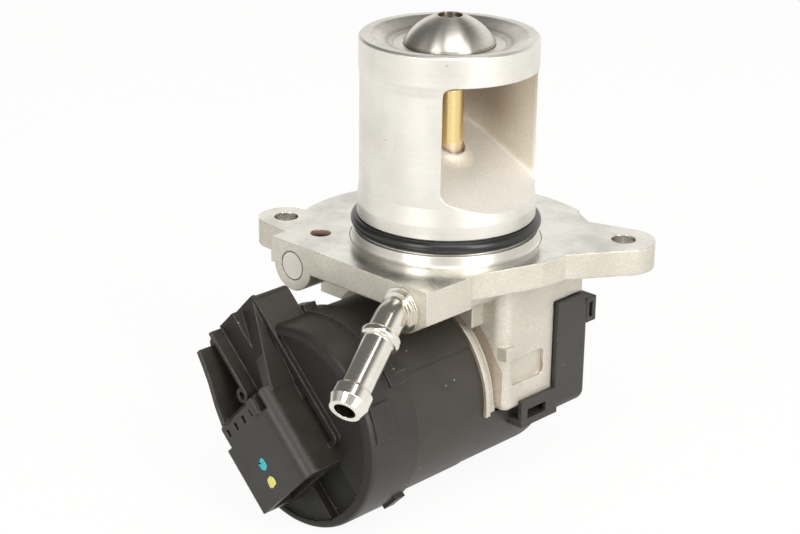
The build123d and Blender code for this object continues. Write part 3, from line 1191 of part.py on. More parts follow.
def plate_screws():
    screws = []
    top = PLATE_Y + PLATE_THICKNESS
    for x, z in plate_screw_places():
        shank = disc_y(SCREW_RADIUS, PLATE_Y - PLATE_SCREW_REACH, top, x, z)
        head = disc_y(SCREW_HEAD_RADIUS, top, top + SCREW_HEAD_HEIGHT, x, z)
        socket = RegularPolygon(SCREW_SOCKET_RADIUS, 6)
        head -= prism_y(socket, top + SCREW_SOCKET_FLOOR, top + SCREW_HEAD_HEIGHT + 1, x, z)
        screws.append(shank + head)
    return Compound(children=[item.solids()[0] for item in screws])


def valve_housing():
    body = flange_plate() + coolant_lobes() + gear_case()
    body -= coolant_bores()
    body -= case_rooms()
    body -= disc_z(BASE_BAND_RADIUS + FACE_RELIEF_WIDTH, SPIGOT_FOOT_Z, 1)
    for x, y in (LEFT_EAR, RIGHT_EAR):
        body -= disc_z(EAR_HOLE_RADIUS, -60, 5, x, y)
    return body


def gear_cover():
    """Plastic cover over the gears, with a round belly that runs forward below the casting."""
    box = rounded_box(COVER_LEFT_X, COVER_RIGHT_X, COVER_FRONT_Y, COVER_BACK_Y, COVER_BOTTOM_Z,
                      COVER_TOP_Z, COVER_CORNER_RADIUS)
    back_edges = box.edges().group_by(Axis.Y)[-1]
    box = fillet(back_edges, COVER_EDGE_RADIUS)
    belly = disc_y(BELLY_RADIUS, MOTOR_FACE_Y + BELLY_GAP, BELLY_BACK_Y, MOTOR_X, MOTOR_Z)
    belly = fillet(belly.edges().filter_by(GeomType.CIRCLE).sort_by(Axis.Y)[-1], BELLY_EDGE_RADIUS)
    belly &= below(CASE_BOTTOM_Z - BELLY_GAP)
    room = block(COVER_LEFT_X + COVER_WALL, COVER_RIGHT_X - COVER_WALL, COVER_FRONT_Y - 1,
                 COVER_INNER_Y, COVER_BOTTOM_Z + COVER_WALL, COVER_TOP_Z - COVER_WALL)
    belly_room = disc_y(BELLY_RADIUS - COVER_WALL, MOTOR_FACE_Y + BELLY_GAP + COVER_WALL,
                        BELLY_BACK_Y - COVER_WALL, MOTOR_X, MOTOR_Z)
    belly_room &= below(CASE_BOTTOM_Z + 1)
    top_way = block(-COVER_WAY_HALF, COVER_WAY_HALF, COVER_FRONT_Y - 1, COVER_WAY_BACK_Y,
                    HOOD_BOTTOM_Z - COVER_WAY_HEIGHT, HOOD_BOTTOM_Z + COVER_WAY_HEIGHT)
    boss_way = disc_y(BEARING_RADIUS + BEARING_WALL + BELLY_GAP, MOTOR_FACE_Y, CASE_BACK_Y,
                      MOTOR_X, MOTOR_Z)
    cover = (box + belly) - room - belly_room - top_way - boss_way
    boss_end = COVER_INNER_Y + COVER_WALL / 4
    shaft_boss_y = SECTOR_Y + SECTOR_WIDTH + BOSS_GAP
    pin_boss_y = WHEEL_Y + WHEEL_WIDTH + BOSS_GAP
    cover += disc_y(OUTPUT_BUSH_RADIUS, shaft_boss_y, boss_end, CRANK_AXIS_X, CRANK_AXIS_Z)
    cover += disc_y(2 * GEAR_PIN_RADIUS, pin_boss_y, boss_end, WHEEL_AXIS_X, WHEEL_AXIS_Z)
    shaft_bore = OUTPUT_SHAFT_RADIUS + OUTPUT_SHAFT_CLEARANCE
    cover -= disc_y(shaft_bore, 0, COVER_INNER_Y, CRANK_AXIS_X, CRANK_AXIS_Z)
    cover -= disc_y(GEAR_PIN_RADIUS, 0, COVER_INNER_Y, WHEEL_AXIS_X, WHEEL_AXIS_Z)
    return cover + cover_clips()


def cover_clips():
    """Snap arms that reach forward from the cover over the nibs of the casting."""
    x0, x1 = CASE_RIGHT_X + CLIP_GAP, COVER_RIGHT_X
    root_y = COVER_FRONT_Y + 1
    top = block(x0, x1, COVER_FRONT_Y, TOP_TAB_BACK_Y, HOOD_BOTTOM_Z - TOP_TAB_DROP, COVER_TOP_Z)
    low = block(x0, x1, SNAP_FRONT_Y, root_y, SNAP_BOTTOM_Z, SNAP_TOP_Z)
    low -= block(x0 - 1, x1 + 1, *SNAP_SLOT_Y, *SNAP_SLOT_Z)
    floor_top = SNAP_BOTTOM_Z + SNAP_FLOOR_THICKNESS
    floor = block(SNAP_FLOOR_X, x1, SNAP_FRONT_Y, root_y, SNAP_BOTTOM_Z, floor_top)
    loop = block(*LOOP_X, COVER_BACK_Y - 1, LOOP_BACK_Y, *LOOP_Z)
    loop -= block(LOOP_X[0] - 1, x1 + 1, COVER_BACK_Y, LOOP_BACK_Y - LOOP_WALL,
                  LOOP_Z[0] + LOOP_WALL, LOOP_Z[1] - LOOP_WALL)
    return top + low + floor + loop


def cover_gasket():
    frame_part = rounded_box(COVER_LEFT_X, CASE_RIGHT_X, GASKET_Y, COVER_FRONT_Y, CASE_BOTTOM_Z,
                             COVER_TOP_Z, CASE_EDGE_RADIUS)
    frame_part -= rounded_box(COVER_LEFT_X + GASKET_WIDTH, CASE_RIGHT_X - GASKET_WIDTH, GASKET_Y - 1,
                              COVER_FRONT_Y + 1, CASE_BOTTOM_Z + GASKET_WIDTH, COVER_TOP_Z - GASKET_WIDTH,
                              CASE_EDGE_RADIUS)
    frame_part -= block(-COVER_WAY_HALF, COVER_WAY_HALF, GASKET_Y - 1, COVER_FRONT_Y + 1,
                        HOOD_BOTTOM_Z - COVER_WAY_HEIGHT, HOOD_BOTTOM_Z)
    return frame_part - disc_y(BEARING_RADIUS + BEARING_WALL, 0, COVER_BACK_Y, MOTOR_X, MOTOR_Z)


def coolant_plug():
    return disc_y(PLUG_RADIUS, FRONT_FACE_Y, FRONT_FACE_Y + PLUG_THICKNESS, PLUG_X, PLUG_Z)


def nozzle_run():
    """Direction of the nozzle's leg after the bend: forward, down and a little to the right."""
    bend, swing = math.radians(NOZZLE_BEND), math.radians(NOZZLE_SWING)
    return Vector(math.sin(bend) * math.sin(swing), -math.cos(bend), -math.sin(bend) * math.cos(swing))


def nozzle_bead():
    """Barb at the mouth, turned about the leg, with the mouth at its foot."""
    rise = NOZZLE_BEAD_RADIUS - NOZZLE_RADIUS
    outline = make_face(Polyline(
        (0, 0, 0), (NOZZLE_RADIUS, 0, 0), (NOZZLE_BEAD_RADIUS, 0, rise * NOZZLE_BEAD_SLOPE),
        (NOZZLE_BEAD_RADIUS, 0, NOZZLE_BEAD_LENGTH - rise), (NOZZLE_RADIUS, 0, NOZZLE_BEAD_LENGTH),
        (0, 0, NOZZLE_BEAD_LENGTH), close=True))
    return revolve(outline, Axis.Z, 360)


def coolant_nozzle():
    seat = Vector(NOZZLE_X, FRONT_FACE_Y + NOZZLE_INSERT, NOZZLE_Z)
    corner = Vector(NOZZLE_X, FRONT_FACE_Y - NOZZLE_STRAIGHT, NOZZLE_Z)
    end = corner + nozzle_run() * NOZZLE_LEG
    path = FilletPolyline(seat, corner, end, radius=NOZZLE_BEND_RADIUS)
    plane = Plane(origin=seat, z_dir=(0, -1, 0))
    tube = sweep(plane * Circle(NOZZLE_RADIUS), path)
    bore = sweep(plane * Circle(NOZZLE_BORE), path)
    collar = disc_y(NOZZLE_COLLAR_RADIUS, FRONT_FACE_Y - NOZZLE_COLLAR_THICKNESS, FRONT_FACE_Y,
                    NOZZLE_X, NOZZLE_Z)
    collar += disc_y(NOZZLE_COLLAR_RADIUS - NOZZLE_COLLAR_STEP,
                     FRONT_FACE_Y - 2 * NOZZLE_COLLAR_THICKNESS, FRONT_FACE_Y, NOZZLE_X, NOZZLE_Z)
    mouth = Plane(origin=end, z_dir=-nozzle_run()).location
    ring = Pos(0, 0, NOZZLE_LEG - NOZZLE_RING_PLACE) * Cylinder(NOZZLE_RING_RADIUS, NOZZLE_RING_LENGTH)
    ring = fillet(ring.edges().filter_by(GeomType.CIRCLE), NOZZLE_RING_EDGE_RADIUS)
    return tube + collar + mouth * nozzle_bead() + mouth * ring - bore


NODES = {
    "valve_housing": valve_housing,
    "spigot": spigot,
    "port_seal": port_seal,
    "seat_ring": seat_ring,
    "poppet": poppet,
    "valve_stem": valve_stem,
    "stem_guide": stem_guide,
    "stem_seal": stem_seal,
    "return_spring": return_spring,
    "spring_seat": spring_seat,
    "stem_yoke": stem_yoke,
    "yoke_pin": yoke_pin,
    "crank_disc": crank_disc,
    "crank_roller": crank_roller,
    "output_shaft": output_shaft,
    "output_bush": output_bush,
    "sector_gear": sector_gear,
    "intermediate_gear": intermediate_gear,
    "gear_pin": gear_pin,
    "bearing_plate": bearing_plate,
    "plate_screws": plate_screws,
    "motor_pinion": motor_pinion,
    "motor_shaft": motor_shaft,
    "rotor_core": rotor_core,
    "rotor_winding": rotor_winding,
    "commutator": commutator,
    "sensor_magnet": sensor_magnet,
    "magnets": magnets,
    "flux_ring": flux_ring,
    "motor_can": motor_can,
    "motor_seal": motor_seal,
    "motor_screws": motor_screws,
    "rear_bearing": rear_bearing,
    "front_bearing": front_bearing,
    "brush_card": brush_card,
    "brushes": brushes,
    "end_cap": end_cap,
    "connector_terminals": connector_terminals,
    "control_board": control_board,
    "gear_cover": gear_cover,
    "cover_gasket": cover_gasket,
    "coolant_plug": coolant_plug,
    "coolant_nozzle": coolant_nozzle,
}

os.makedirs("parts", exist_ok=True)
for name, make in NODES.items():
    export_step(make(), f"parts/{name}.step")
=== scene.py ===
"""Looks of an electric exhaust gas recirculation valve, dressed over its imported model."""

import json
import logging
import math
from collections.abc import Callable
from dataclasses import dataclass
from enum import Enum

import bpy
from mathutils import Matrix, Vector

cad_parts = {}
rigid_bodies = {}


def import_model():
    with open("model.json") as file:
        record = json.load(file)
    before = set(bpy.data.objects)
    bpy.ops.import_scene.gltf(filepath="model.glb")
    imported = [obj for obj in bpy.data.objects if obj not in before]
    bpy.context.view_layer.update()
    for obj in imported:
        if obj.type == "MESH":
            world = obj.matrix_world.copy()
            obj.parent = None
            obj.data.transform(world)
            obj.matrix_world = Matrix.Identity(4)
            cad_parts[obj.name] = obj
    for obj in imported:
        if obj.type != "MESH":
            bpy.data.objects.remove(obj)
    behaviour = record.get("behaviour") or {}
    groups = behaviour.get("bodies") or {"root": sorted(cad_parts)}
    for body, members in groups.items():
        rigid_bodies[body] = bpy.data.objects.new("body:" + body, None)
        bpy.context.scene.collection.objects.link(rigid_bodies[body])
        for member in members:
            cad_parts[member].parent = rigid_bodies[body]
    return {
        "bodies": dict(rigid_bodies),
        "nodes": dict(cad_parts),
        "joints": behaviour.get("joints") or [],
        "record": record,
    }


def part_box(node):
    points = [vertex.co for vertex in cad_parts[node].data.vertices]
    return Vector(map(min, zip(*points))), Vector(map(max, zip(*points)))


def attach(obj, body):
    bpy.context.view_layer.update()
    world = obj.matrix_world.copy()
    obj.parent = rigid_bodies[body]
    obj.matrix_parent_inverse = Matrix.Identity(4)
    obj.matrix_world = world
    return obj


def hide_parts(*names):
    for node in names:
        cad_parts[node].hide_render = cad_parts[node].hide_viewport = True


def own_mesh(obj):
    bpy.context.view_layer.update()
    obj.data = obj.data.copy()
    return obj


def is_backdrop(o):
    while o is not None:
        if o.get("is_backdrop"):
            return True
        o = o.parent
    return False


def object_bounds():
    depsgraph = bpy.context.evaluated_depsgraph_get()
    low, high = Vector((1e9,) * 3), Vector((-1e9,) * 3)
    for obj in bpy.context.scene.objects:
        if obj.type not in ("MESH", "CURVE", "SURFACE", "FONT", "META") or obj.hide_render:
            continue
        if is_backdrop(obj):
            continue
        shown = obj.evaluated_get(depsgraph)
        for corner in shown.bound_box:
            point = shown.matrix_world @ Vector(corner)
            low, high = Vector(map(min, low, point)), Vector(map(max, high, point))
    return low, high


LOG = logging.getLogger("valve")
MM = 0.001
EARS = ((-42.1, -22.6), (38.0, 33.2))
COOLANT_HOLE = (-25.3, -24.9)
PLUG = (-24.6, -6.6)
MOTOR_AXIS = (-2.4, -42.8)
SCRATCH_GLOSS = 0.15
QUARTER_TURN = 0.25

Colour = tuple[float, float, float]
Spot = tuple[float, float]
Socket = bpy.types.NodeSocket
Node = bpy.types.Node
Piece = bpy.types.Object
Material = bpy.types.Material


def direction(azimuth: float, elevation: float) -> Vector:
    """Points from the object towards a place in the studio.

    Args:
        azimuth: Degrees round from -Y towards +X.
        elevation: Degrees above the floor.

    Returns:
        The direction, of length 1.
    """
    a, e = math.radians(azimuth), math.radians(elevation)
    return Vector((math.sin(a) * math.cos(e), -math.cos(a) * math.cos(e), math.sin(e)))


class Body(Enum):
    """Moving body that a new piece rides on."""

    HOUSING = "housing"
    VALVE = "valve"


class Graph:
    """Node tree under construction, with a short call for each kind of link."""

    def __init__(self, tree: bpy.types.NodeTree) -> None:
        """Starts on an empty tree.

        Args:
            tree: The material's or the group's node tree.
        """
        self.tree = tree
        self.tree.nodes.clear()

    def node(self, kind: str, **settings: object) -> Node:
        """Adds one node.

        Args:
            kind: Name of the node type.
            **settings: Values for the node's own properties.

        Returns:
            The new node.
        """
        made = self.tree.nodes.new(kind)
        for name, value in settings.items():
            setattr(made, name, value)
        return made

    def feed(self, target: Socket, source: object) -> None:
        """Links a socket, or sets its plain value.

        Args:
            target: Input socket.
            source: Output socket, number or tuple.
        """
        if isinstance(source, Socket):
            self.tree.links.new(source, target)
        elif source is not None:
            target.default_value = source

    def math(self, operation: str, a: object, b: object = None, clamp: bool = False) -> Socket:
        """Adds a Math node.

        Args:
            operation: Name of the operation.
            a: First value or socket.
            b: Second value or socket.
            clamp: Whether the result is kept between 0 and 1.

        Returns:
            The result's socket.
        """
        made = self.node("ShaderNodeMath", operation=operation, use_clamp=clamp)
        self.feed(made.inputs[0], a)
        self.feed(made.inputs[1], b)
        return made.outputs[0]

    def times(self, a: object, b: object) -> Socket:
        """Returns the product of two numbers."""
        return self.math("MULTIPLY", a, b)

    def most(self, a: object, b: object) -> Socket:
        """Returns the greater of two numbers."""
        return self.math("MAXIMUM", a, b)

    def above(self, value: object, limit: float) -> Socket:
        """Masks where a number is over a limit."""
        return self.math("GREATER_THAN", value, limit)

    def below(self, value: object, limit: float) -> Socket:
        """Masks where a number is under a limit."""
        return self.math("LESS_THAN", value, limit)

    def _mix(self, kind: str, ports: tuple[int, int, int], factor: object, a: object, b: object) -> Socket:
        """Mixes two values of one kind.

        Args:
            kind: Name of that kind.
            ports: Numbers of the two inputs and of the output.
            factor: Share of the second value.
            a: First value.
            b: Second value.

        Returns:
            The result's socket.
        """
        made = self.node("ShaderNodeMix", data_type=kind)
        for port, value in zip((0, *ports[:2]), (factor, a, b)):
            self.feed(made.inputs[port], value)
        return made.outputs[ports[2]]

    def blend(self, factor: object, a: object, b: object) -> Socket:
        """Returns a mix of two colours, by the share of the second."""
        return self._mix("RGBA", (6, 7, 2), factor, a, b)

    def between(self, factor: object, a: object, b: object) -> Socket:
        """Returns a mix of two numbers, by the share of the second."""
        return self._mix("FLOAT", (2, 3, 0), factor, a, b)

    def bend(self, factor: object, a: object, b: object) -> Socket:
        """Returns a mix of two normals, by the share of the second."""
        return self._mix("VECTOR", (4, 5, 1), factor, a, b)

    def fade(self, value: object, low: object, high: object) -> Socket:
        """Turns a number into a smooth mask.

        Args:
            value: Number to test.
            low: Where the mask is 0.
            high: Where the mask is 1.

        Returns:
            The mask's socket.
        """
        made = self.node("ShaderNodeMapRange", interpolation_type="SMOOTHSTEP")
        self.feed(made.inputs[0], value)
        self.feed(made.inputs[1], low)
        self.feed(made.inputs[2], high)
        return made.outputs[0]

    def noise(self, vector: object, scale: object, detail: float = 4.0, rough: float = 0.5) -> Socket:
        """Adds a noise pattern.

        Args:
            vector: Place to read it at.
            scale: Repeats in a metre.
            detail: Number of finer layers.
            rough: Strength of the finer layers.

        Returns:
            The pattern's value.
        """
        made = self.node("ShaderNodeTexNoise")
        self.feed(made.inputs["Vector"], vector)
        self.feed(made.inputs["Scale"], scale)
        made.inputs["Detail"].default_value = detail
        made.inputs["Roughness"].default_value = rough
        return made.outputs["Fac"]

    def place(self) -> Socket:
        """Returns the object's own coordinates."""
        return self.node("ShaderNodeTexCoord").outputs["Object"]

    def xyz(self) -> list[Socket]:
        """Returns the X, Y and Z of the object's own coordinates."""
        return self.split(self.place())

    def split(self, vector: Socket) -> list[Socket]:
        """Parts a vector into X, Y and Z.

        Args:
            vector: The vector.

        Returns:
            The three sockets.
        """
        made = self.node("ShaderNodeSeparateXYZ")
        self.feed(made.inputs[0], vector)
        return list(made.outputs)

    def facing(self) -> list[Socket]:
        """Returns the X, Y and Z of the face's own normal."""
        return self.split(self.node("ShaderNodeNewGeometry").outputs["True Normal"])

    def along(self, vector: object, direction: object) -> Socket:
        """Measures how far a vector points along a direction.

        Args:
            vector: The vector.
            direction: Socket or plain direction.

        Returns:
            The dot product's socket.
        """
        made = self.node("ShaderNodeVectorMath", operation="DOT_PRODUCT")
        self.feed(made.inputs[0], vector)
        self.feed(made.inputs[1], direction)
        return made.outputs["Value"]

    def bump(self, height: Socket, depth: float, normal: Socket) -> Socket:
        """Bends a normal by a height pattern.

        Args:
            height: The pattern.
            depth: Its depth in millimetres.
            normal: Normal to bend.

        Returns:
            The bent normal's socket.
        """
        made = self.node("ShaderNodeBump")
        made.inputs["Strength"].default_value = 1.0
        made.inputs["Distance"].default_value = depth * MM
        self.feed(made.inputs["Height"], height)
        self.feed(made.inputs["Normal"], normal)
        return made.outputs[0]

    def group(self, tree: bpy.types.NodeTree, **values: float) -> bpy.types.NodeOutputs:
        """Adds a node group.

        Args:
            tree: The group's tree.
            **values: Numbers for its inputs.

        Returns:
            The group's outputs.
        """
        made = self.node("ShaderNodeGroup", node_tree=tree)
        for name, value in values.items():
            made.inputs[name].default_value = value
        return made.outputs

    def reach(self, a: Socket, b: Socket, centre: Spot = (0.0, 0.0)) -> Socket:
        """Measures the distance from an axis.

        Args:
            a: First coordinate across the axis.
            b: Second coordinate across the axis.
            centre: Where the axis stands, in millimetres.

        Returns:
            The distance's socket, in metres.
        """
        x = self.math("SUBTRACT", a, centre[0] * MM)
        y = self.math("SUBTRACT", b, centre[1] * MM)
        return self.math("SQRT", self.math("ADD", self.times(x, x), self.times(y, y)))

    def stretched(self, vector: object, scale: Colour) -> Socket:
        """Scales coordinates along each axis.

        Args:
            vector: Coordinates to stretch.
            scale: Factor along X, Y and Z.

        Returns:
            The stretched coordinates.
        """
        made = self.node("ShaderNodeMapping")
        self.feed(made.inputs["Vector"], vector)
        made.inputs["Scale"].default_value = scale
        return made.outputs[0]


class Effects:
    """Shader groups that several finishes share, each built once."""

    def __init__(self) -> None:
        """Builds every group."""
        self.grain = self._grain()
        self.soft_edge = self._soft_edge()
        self.turning = self._turning()
        self.handling = self._handling()

    @staticmethod
    def _start(name: str, inputs: dict[str, float], *outputs: str) -> tuple[Graph, Node, Node]:
        """Opens a new group.

        Args:
            name: Group's name.
            inputs: Input names and their usual values.
            *outputs: Output names. One named Normal is a vector and the others are numbers.

        Returns:
            The graph, its input node and its output node.
        """
        tree = bpy.data.node_groups.new(name, "ShaderNodeTree")
        for label, value in inputs.items():
            socket = tree.interface.new_socket(label, in_out="INPUT", socket_type="NodeSocketFloat")
            socket.default_value = value
        for label in outputs:
            kind = "NodeSocketVector" if label == "Normal" else "NodeSocketFloat"
            tree.interface.new_socket(label, in_out="OUTPUT", socket_type=kind)
        graph = Graph(tree)
        return graph, graph.node("NodeGroupInput"), graph.node("NodeGroupOutput")

    def _grain(self) -> bpy.types.NodeTree:
        """Fine pits and specks, such as shot blasting or a moulded grain leaves.

        Returns:
            The group's tree.
        """
        graph, given, out = self._start("surface grain", {"Size": 0.4, "Coarseness": 4.0}, "Height", "Specks")
        scale = graph.math("DIVIDE", 1000.0, given.outputs["Size"])
        place = graph.place()
        fine = graph.noise(place, scale, detail=3.0, rough=0.6)
        coarse = graph.noise(place, graph.math("DIVIDE", scale, given.outputs["Coarseness"]), detail=3.0)
        pits = graph.node("ShaderNodeTexVoronoi", feature="SMOOTH_F1")
        graph.feed(pits.inputs["Vector"], place)
        graph.feed(pits.inputs["Scale"], graph.times(scale, 0.8))
        height = graph.math("ADD", graph.times(fine, 0.6), graph.times(coarse, 0.4))
        height = graph.math("SUBTRACT", height, graph.times(pits.outputs["Distance"], 0.35))
        graph.feed(out.inputs["Height"], height)
        graph.feed(out.inputs["Specks"], graph.fade(fine, 0.42, 0.62))
        return graph.tree

    def _soft_edge(self) -> bpy.types.NodeTree:
        """Rounded normal along hard edges, and a mask of those edges for their colour, which is partly wear
        and partly painted highlight.

        Returns:
            The group's tree.
        """
        graph, given, out = self._start("soft edges", {"Radius": 0.3, "Wear": 0.5}, "Normal", "Edge")
        bevel = graph.node("ShaderNodeBevel", samples=6)
        graph.feed(bevel.inputs["Radius"], graph.times(given.outputs["Radius"], MM))
        turn = graph.along(bevel.outputs[0], graph.node("ShaderNodeNewGeometry").outputs["Normal"])
        bent = graph.fade(graph.math("SUBTRACT", 1.0, turn), 0.03, 0.22)
        broken = graph.fade(graph.noise(graph.place(), 420.0, detail=3.0), 0.35, 0.6)
        edge = graph.times(graph.times(bent, broken), given.outputs["Wear"])
        graph.feed(out.inputs["Normal"], bevel.outputs[0])
        graph.feed(out.inputs["Edge"], edge)
        return graph.tree

    def _turning(self) -> bpy.types.NodeTree:
        """Fine rings that a lathe leaves, by distance from the Z axis and by height.

        Returns:
            The group's tree.
        """
        graph, given, out = self._start("turning marks", {"Pitch": 0.25}, "Height", "Shade")
        x, y, z = graph.xyz()
        row = graph.node("ShaderNodeCombineXYZ")
        graph.feed(row.inputs[0], graph.reach(x, y))
        graph.feed(row.inputs[1], z)
        scale = graph.math("DIVIDE", 1000.0, given.outputs["Pitch"])
        graph.feed(out.inputs["Height"], graph.noise(row.outputs[0], scale, detail=2.0, rough=0.7))
        shade = graph.noise(row.outputs[0], 900.0, rough=0.8)
        graph.feed(out.inputs["Shade"], graph.fade(shade, 0.42, 0.62))
        return graph.tree

    def _handling(self) -> bpy.types.NodeTree:
        """Broad smears, fine scratches and a few small flecks.

        Returns:
            The group's tree.
        """
        graph, given, out = self._start("handling", {"Amount": 0.5}, "Smear", "Scratch", "Fleck")
        place = graph.place()
        smear = graph.fade(graph.noise(place, 60.0, detail=5.0, rough=0.6), 0.35, 0.68)
        lines = graph.noise(graph.stretched(place, (1.0, 0.12, 0.5)), 1300.0, detail=2.0, rough=0.4)
        patchy = graph.fade(graph.noise(place, 35.0), 0.5, 0.62)
        scratch = graph.times(graph.fade(lines, 0.66, 0.74), patchy)
        cells = graph.node("ShaderNodeTexVoronoi")
        graph.feed(cells.inputs["Vector"], place)
        cells.inputs["Scale"].default_value = 300.0
        chosen = graph.fade(graph.split(cells.outputs["Color"])[0], 0.86, 0.9)
        fleck = graph.times(graph.fade(cells.outputs["Distance"], 0.09, 0.05), chosen)
        for name, socket in (("Smear", smear), ("Scratch", scratch), ("Fleck", fleck)):
            graph.feed(out.inputs[name], graph.times(socket, given.outputs["Amount"]))
        return graph.tree


@dataclass(frozen=True)
class Finish:
    """Surface of one material, from its colour down to its grain.

    Args:
        name: Material's name.
        colour: Main colour.
        second: Colour of specks, smears and turning marks.
        edge_wear_and_highlight: Colour along edges, partly wear and partly a painted highlight where the
            edges catch light.
        metallic: 1 for metal and 0 for plastic or rubber.
        roughness: Roughness of the clean surface.
        rough_spread: How far the roughness varies.
        grain_size: Grain in millimetres.
        grain_depth: Depth of the grain in millimetres.
        speck: Share of the second colour in the specks.
        edge_radius: Radius that softens hard edges, in millimetres.
        wear: Strength of the edge colour, partly wear and partly painted highlight.
        turned: Depth of the turning marks in millimetres.
        ringed: Share of the second colour in the turning marks.
        handled: Strength of smears, scratches and dust.
        specular: Specular level of the surface.
        coat: Clear layer on top.
        stretch: How far the gloss is drawn out across the lathe's grooves.
        fleck: Colour of small stray flecks.
    """

    name: str
    colour: Colour
    second: Colour
    edge_wear_and_highlight: Colour
    metallic: float = 0.0
    roughness: float = 0.5
    rough_spread: float = 0.1
    grain_size: float = 0.4
    grain_depth: float = 0.02
    speck: float = 0.3
    edge_radius: float = 0.3
    wear: float = 0.4
    turned: float = 0.0
    ringed: float = 0.2
    handled: float = 0.3
    specular: float = 0.5
    coat: float = 0.0
    stretch: float = 0.0
    fleck: Colour = (0.5, 0.49, 0.46)

    def parts(self, graph: Graph, effects: Effects) -> dict[str, Socket]:
        """Wires colour, roughness and normal of the finish.

        Args:
            graph: The material's graph.
            effects: Shared groups.

        Returns:
            Sockets for colour, roughness and normal.
        """
        grain = graph.group(effects.grain, Size=self.grain_size)
        edge = graph.group(effects.soft_edge, Radius=self.edge_radius, Wear=self.wear)
        hand = graph.group(effects.handling, Amount=self.handled)
        second = (*self.second, 1.0)
        colour = graph.blend(graph.times(grain["Specks"], self.speck), (*self.colour, 1.0), second)
        colour = graph.blend(hand["Smear"], colour, second)
        rough = graph.math("ADD", self.roughness, graph.times(hand["Smear"], self.rough_spread))
        normal = graph.bump(grain["Height"], self.grain_depth, edge["Normal"])
        if self.turned:
            marks = graph.group(effects.turning)
            colour = graph.blend(graph.times(marks["Shade"], self.ringed), colour, second)
            normal = graph.bump(marks["Height"], self.turned, normal)
        # Lighter colour along hard edges: partly wear, partly a painted highlight where the edges catch
        # light.
        colour = graph.blend(edge["Edge"], colour, (*self.edge_wear_and_highlight, 1.0))
        colour = graph.blend(hand["Fleck"], colour, (*self.fleck, 1.0))
        rough = graph.math("SUBTRACT", rough, graph.times(hand["Scratch"], SCRATCH_GLOSS), clamp=True)
        return {"colour": colour, "roughness": rough, "normal": normal}

    def shade(self, shader: Node) -> None:
        """Sets what is the same all over the surface on the shader itself.

        Args:
            shader: The shader.
        """
        shader.inputs["Metallic"].default_value = self.metallic
        shader.inputs["Specular IOR Level"].default_value = self.specular
        shader.inputs["Coat Weight"].default_value = self.coat
        shader.inputs["Anisotropic"].default_value = self.stretch
        shader.inputs["Anisotropic Rotation"].default_value = QUARTER_TURN if self.stretch else 0.0

    def material(self, effects: Effects) -> Material:
        """Returns the material of this finish alone."""
        return Patched(self.name, self).material(effects)


@dataclass(frozen=True)
class Patch:
    """Part of a surface that has a finish of its own.

    Args:
        finish: The finish there.
        rule: Function that wires the mask, 1 where the patch lies.
    """

    finish: Finish
    rule: Callable[[Graph], Socket]


@dataclass(frozen=True)
class Patched:
    """Material with one finish all over and others on patches of it.

    Args:
        name: Material's name.
        base: Finish outside the patches.
        patches: The patches, each over the ones before it.
    """

    name: str
    base: Finish
    patches: tuple[Patch, ...] = ()

    def material(self, effects: Effects) -> Material:
        """Builds the material.

        Args:
            effects: Shared groups.

        Returns:
            The material.
        """
        made = bpy.data.materials.new(self.name)
        made.use_nodes = True
        graph = Graph(made.node_tree)
        shader = graph.node("ShaderNodeBsdfPrincipled")
        out = graph.node("ShaderNodeOutputMaterial")
        graph.feed(out.inputs["Surface"], shader.outputs[0])
        self.base.shade(shader)
        look = self.base.parts(graph, effects)
        metallic = self.base.metallic
        for patch in self.patches:
            mask = patch.rule(graph)
            over = patch.finish.parts(graph, effects)
            look["colour"] = graph.blend(mask, look["colour"], over["colour"])
            look["roughness"] = graph.between(mask, look["roughness"], over["roughness"])
            look["normal"] = graph.bend(mask, look["normal"], over["normal"])
            if patch.finish.metallic != self.base.metallic:
                metallic = graph.between(mask, metallic, patch.finish.metallic)
        graph.feed(shader.inputs["Base Color"], look["colour"])
        graph.feed(shader.inputs["Roughness"], look["roughness"])
        graph.feed(shader.inputs["Normal"], look["normal"])
        graph.feed(shader.inputs["Metallic"], metallic)
        return made


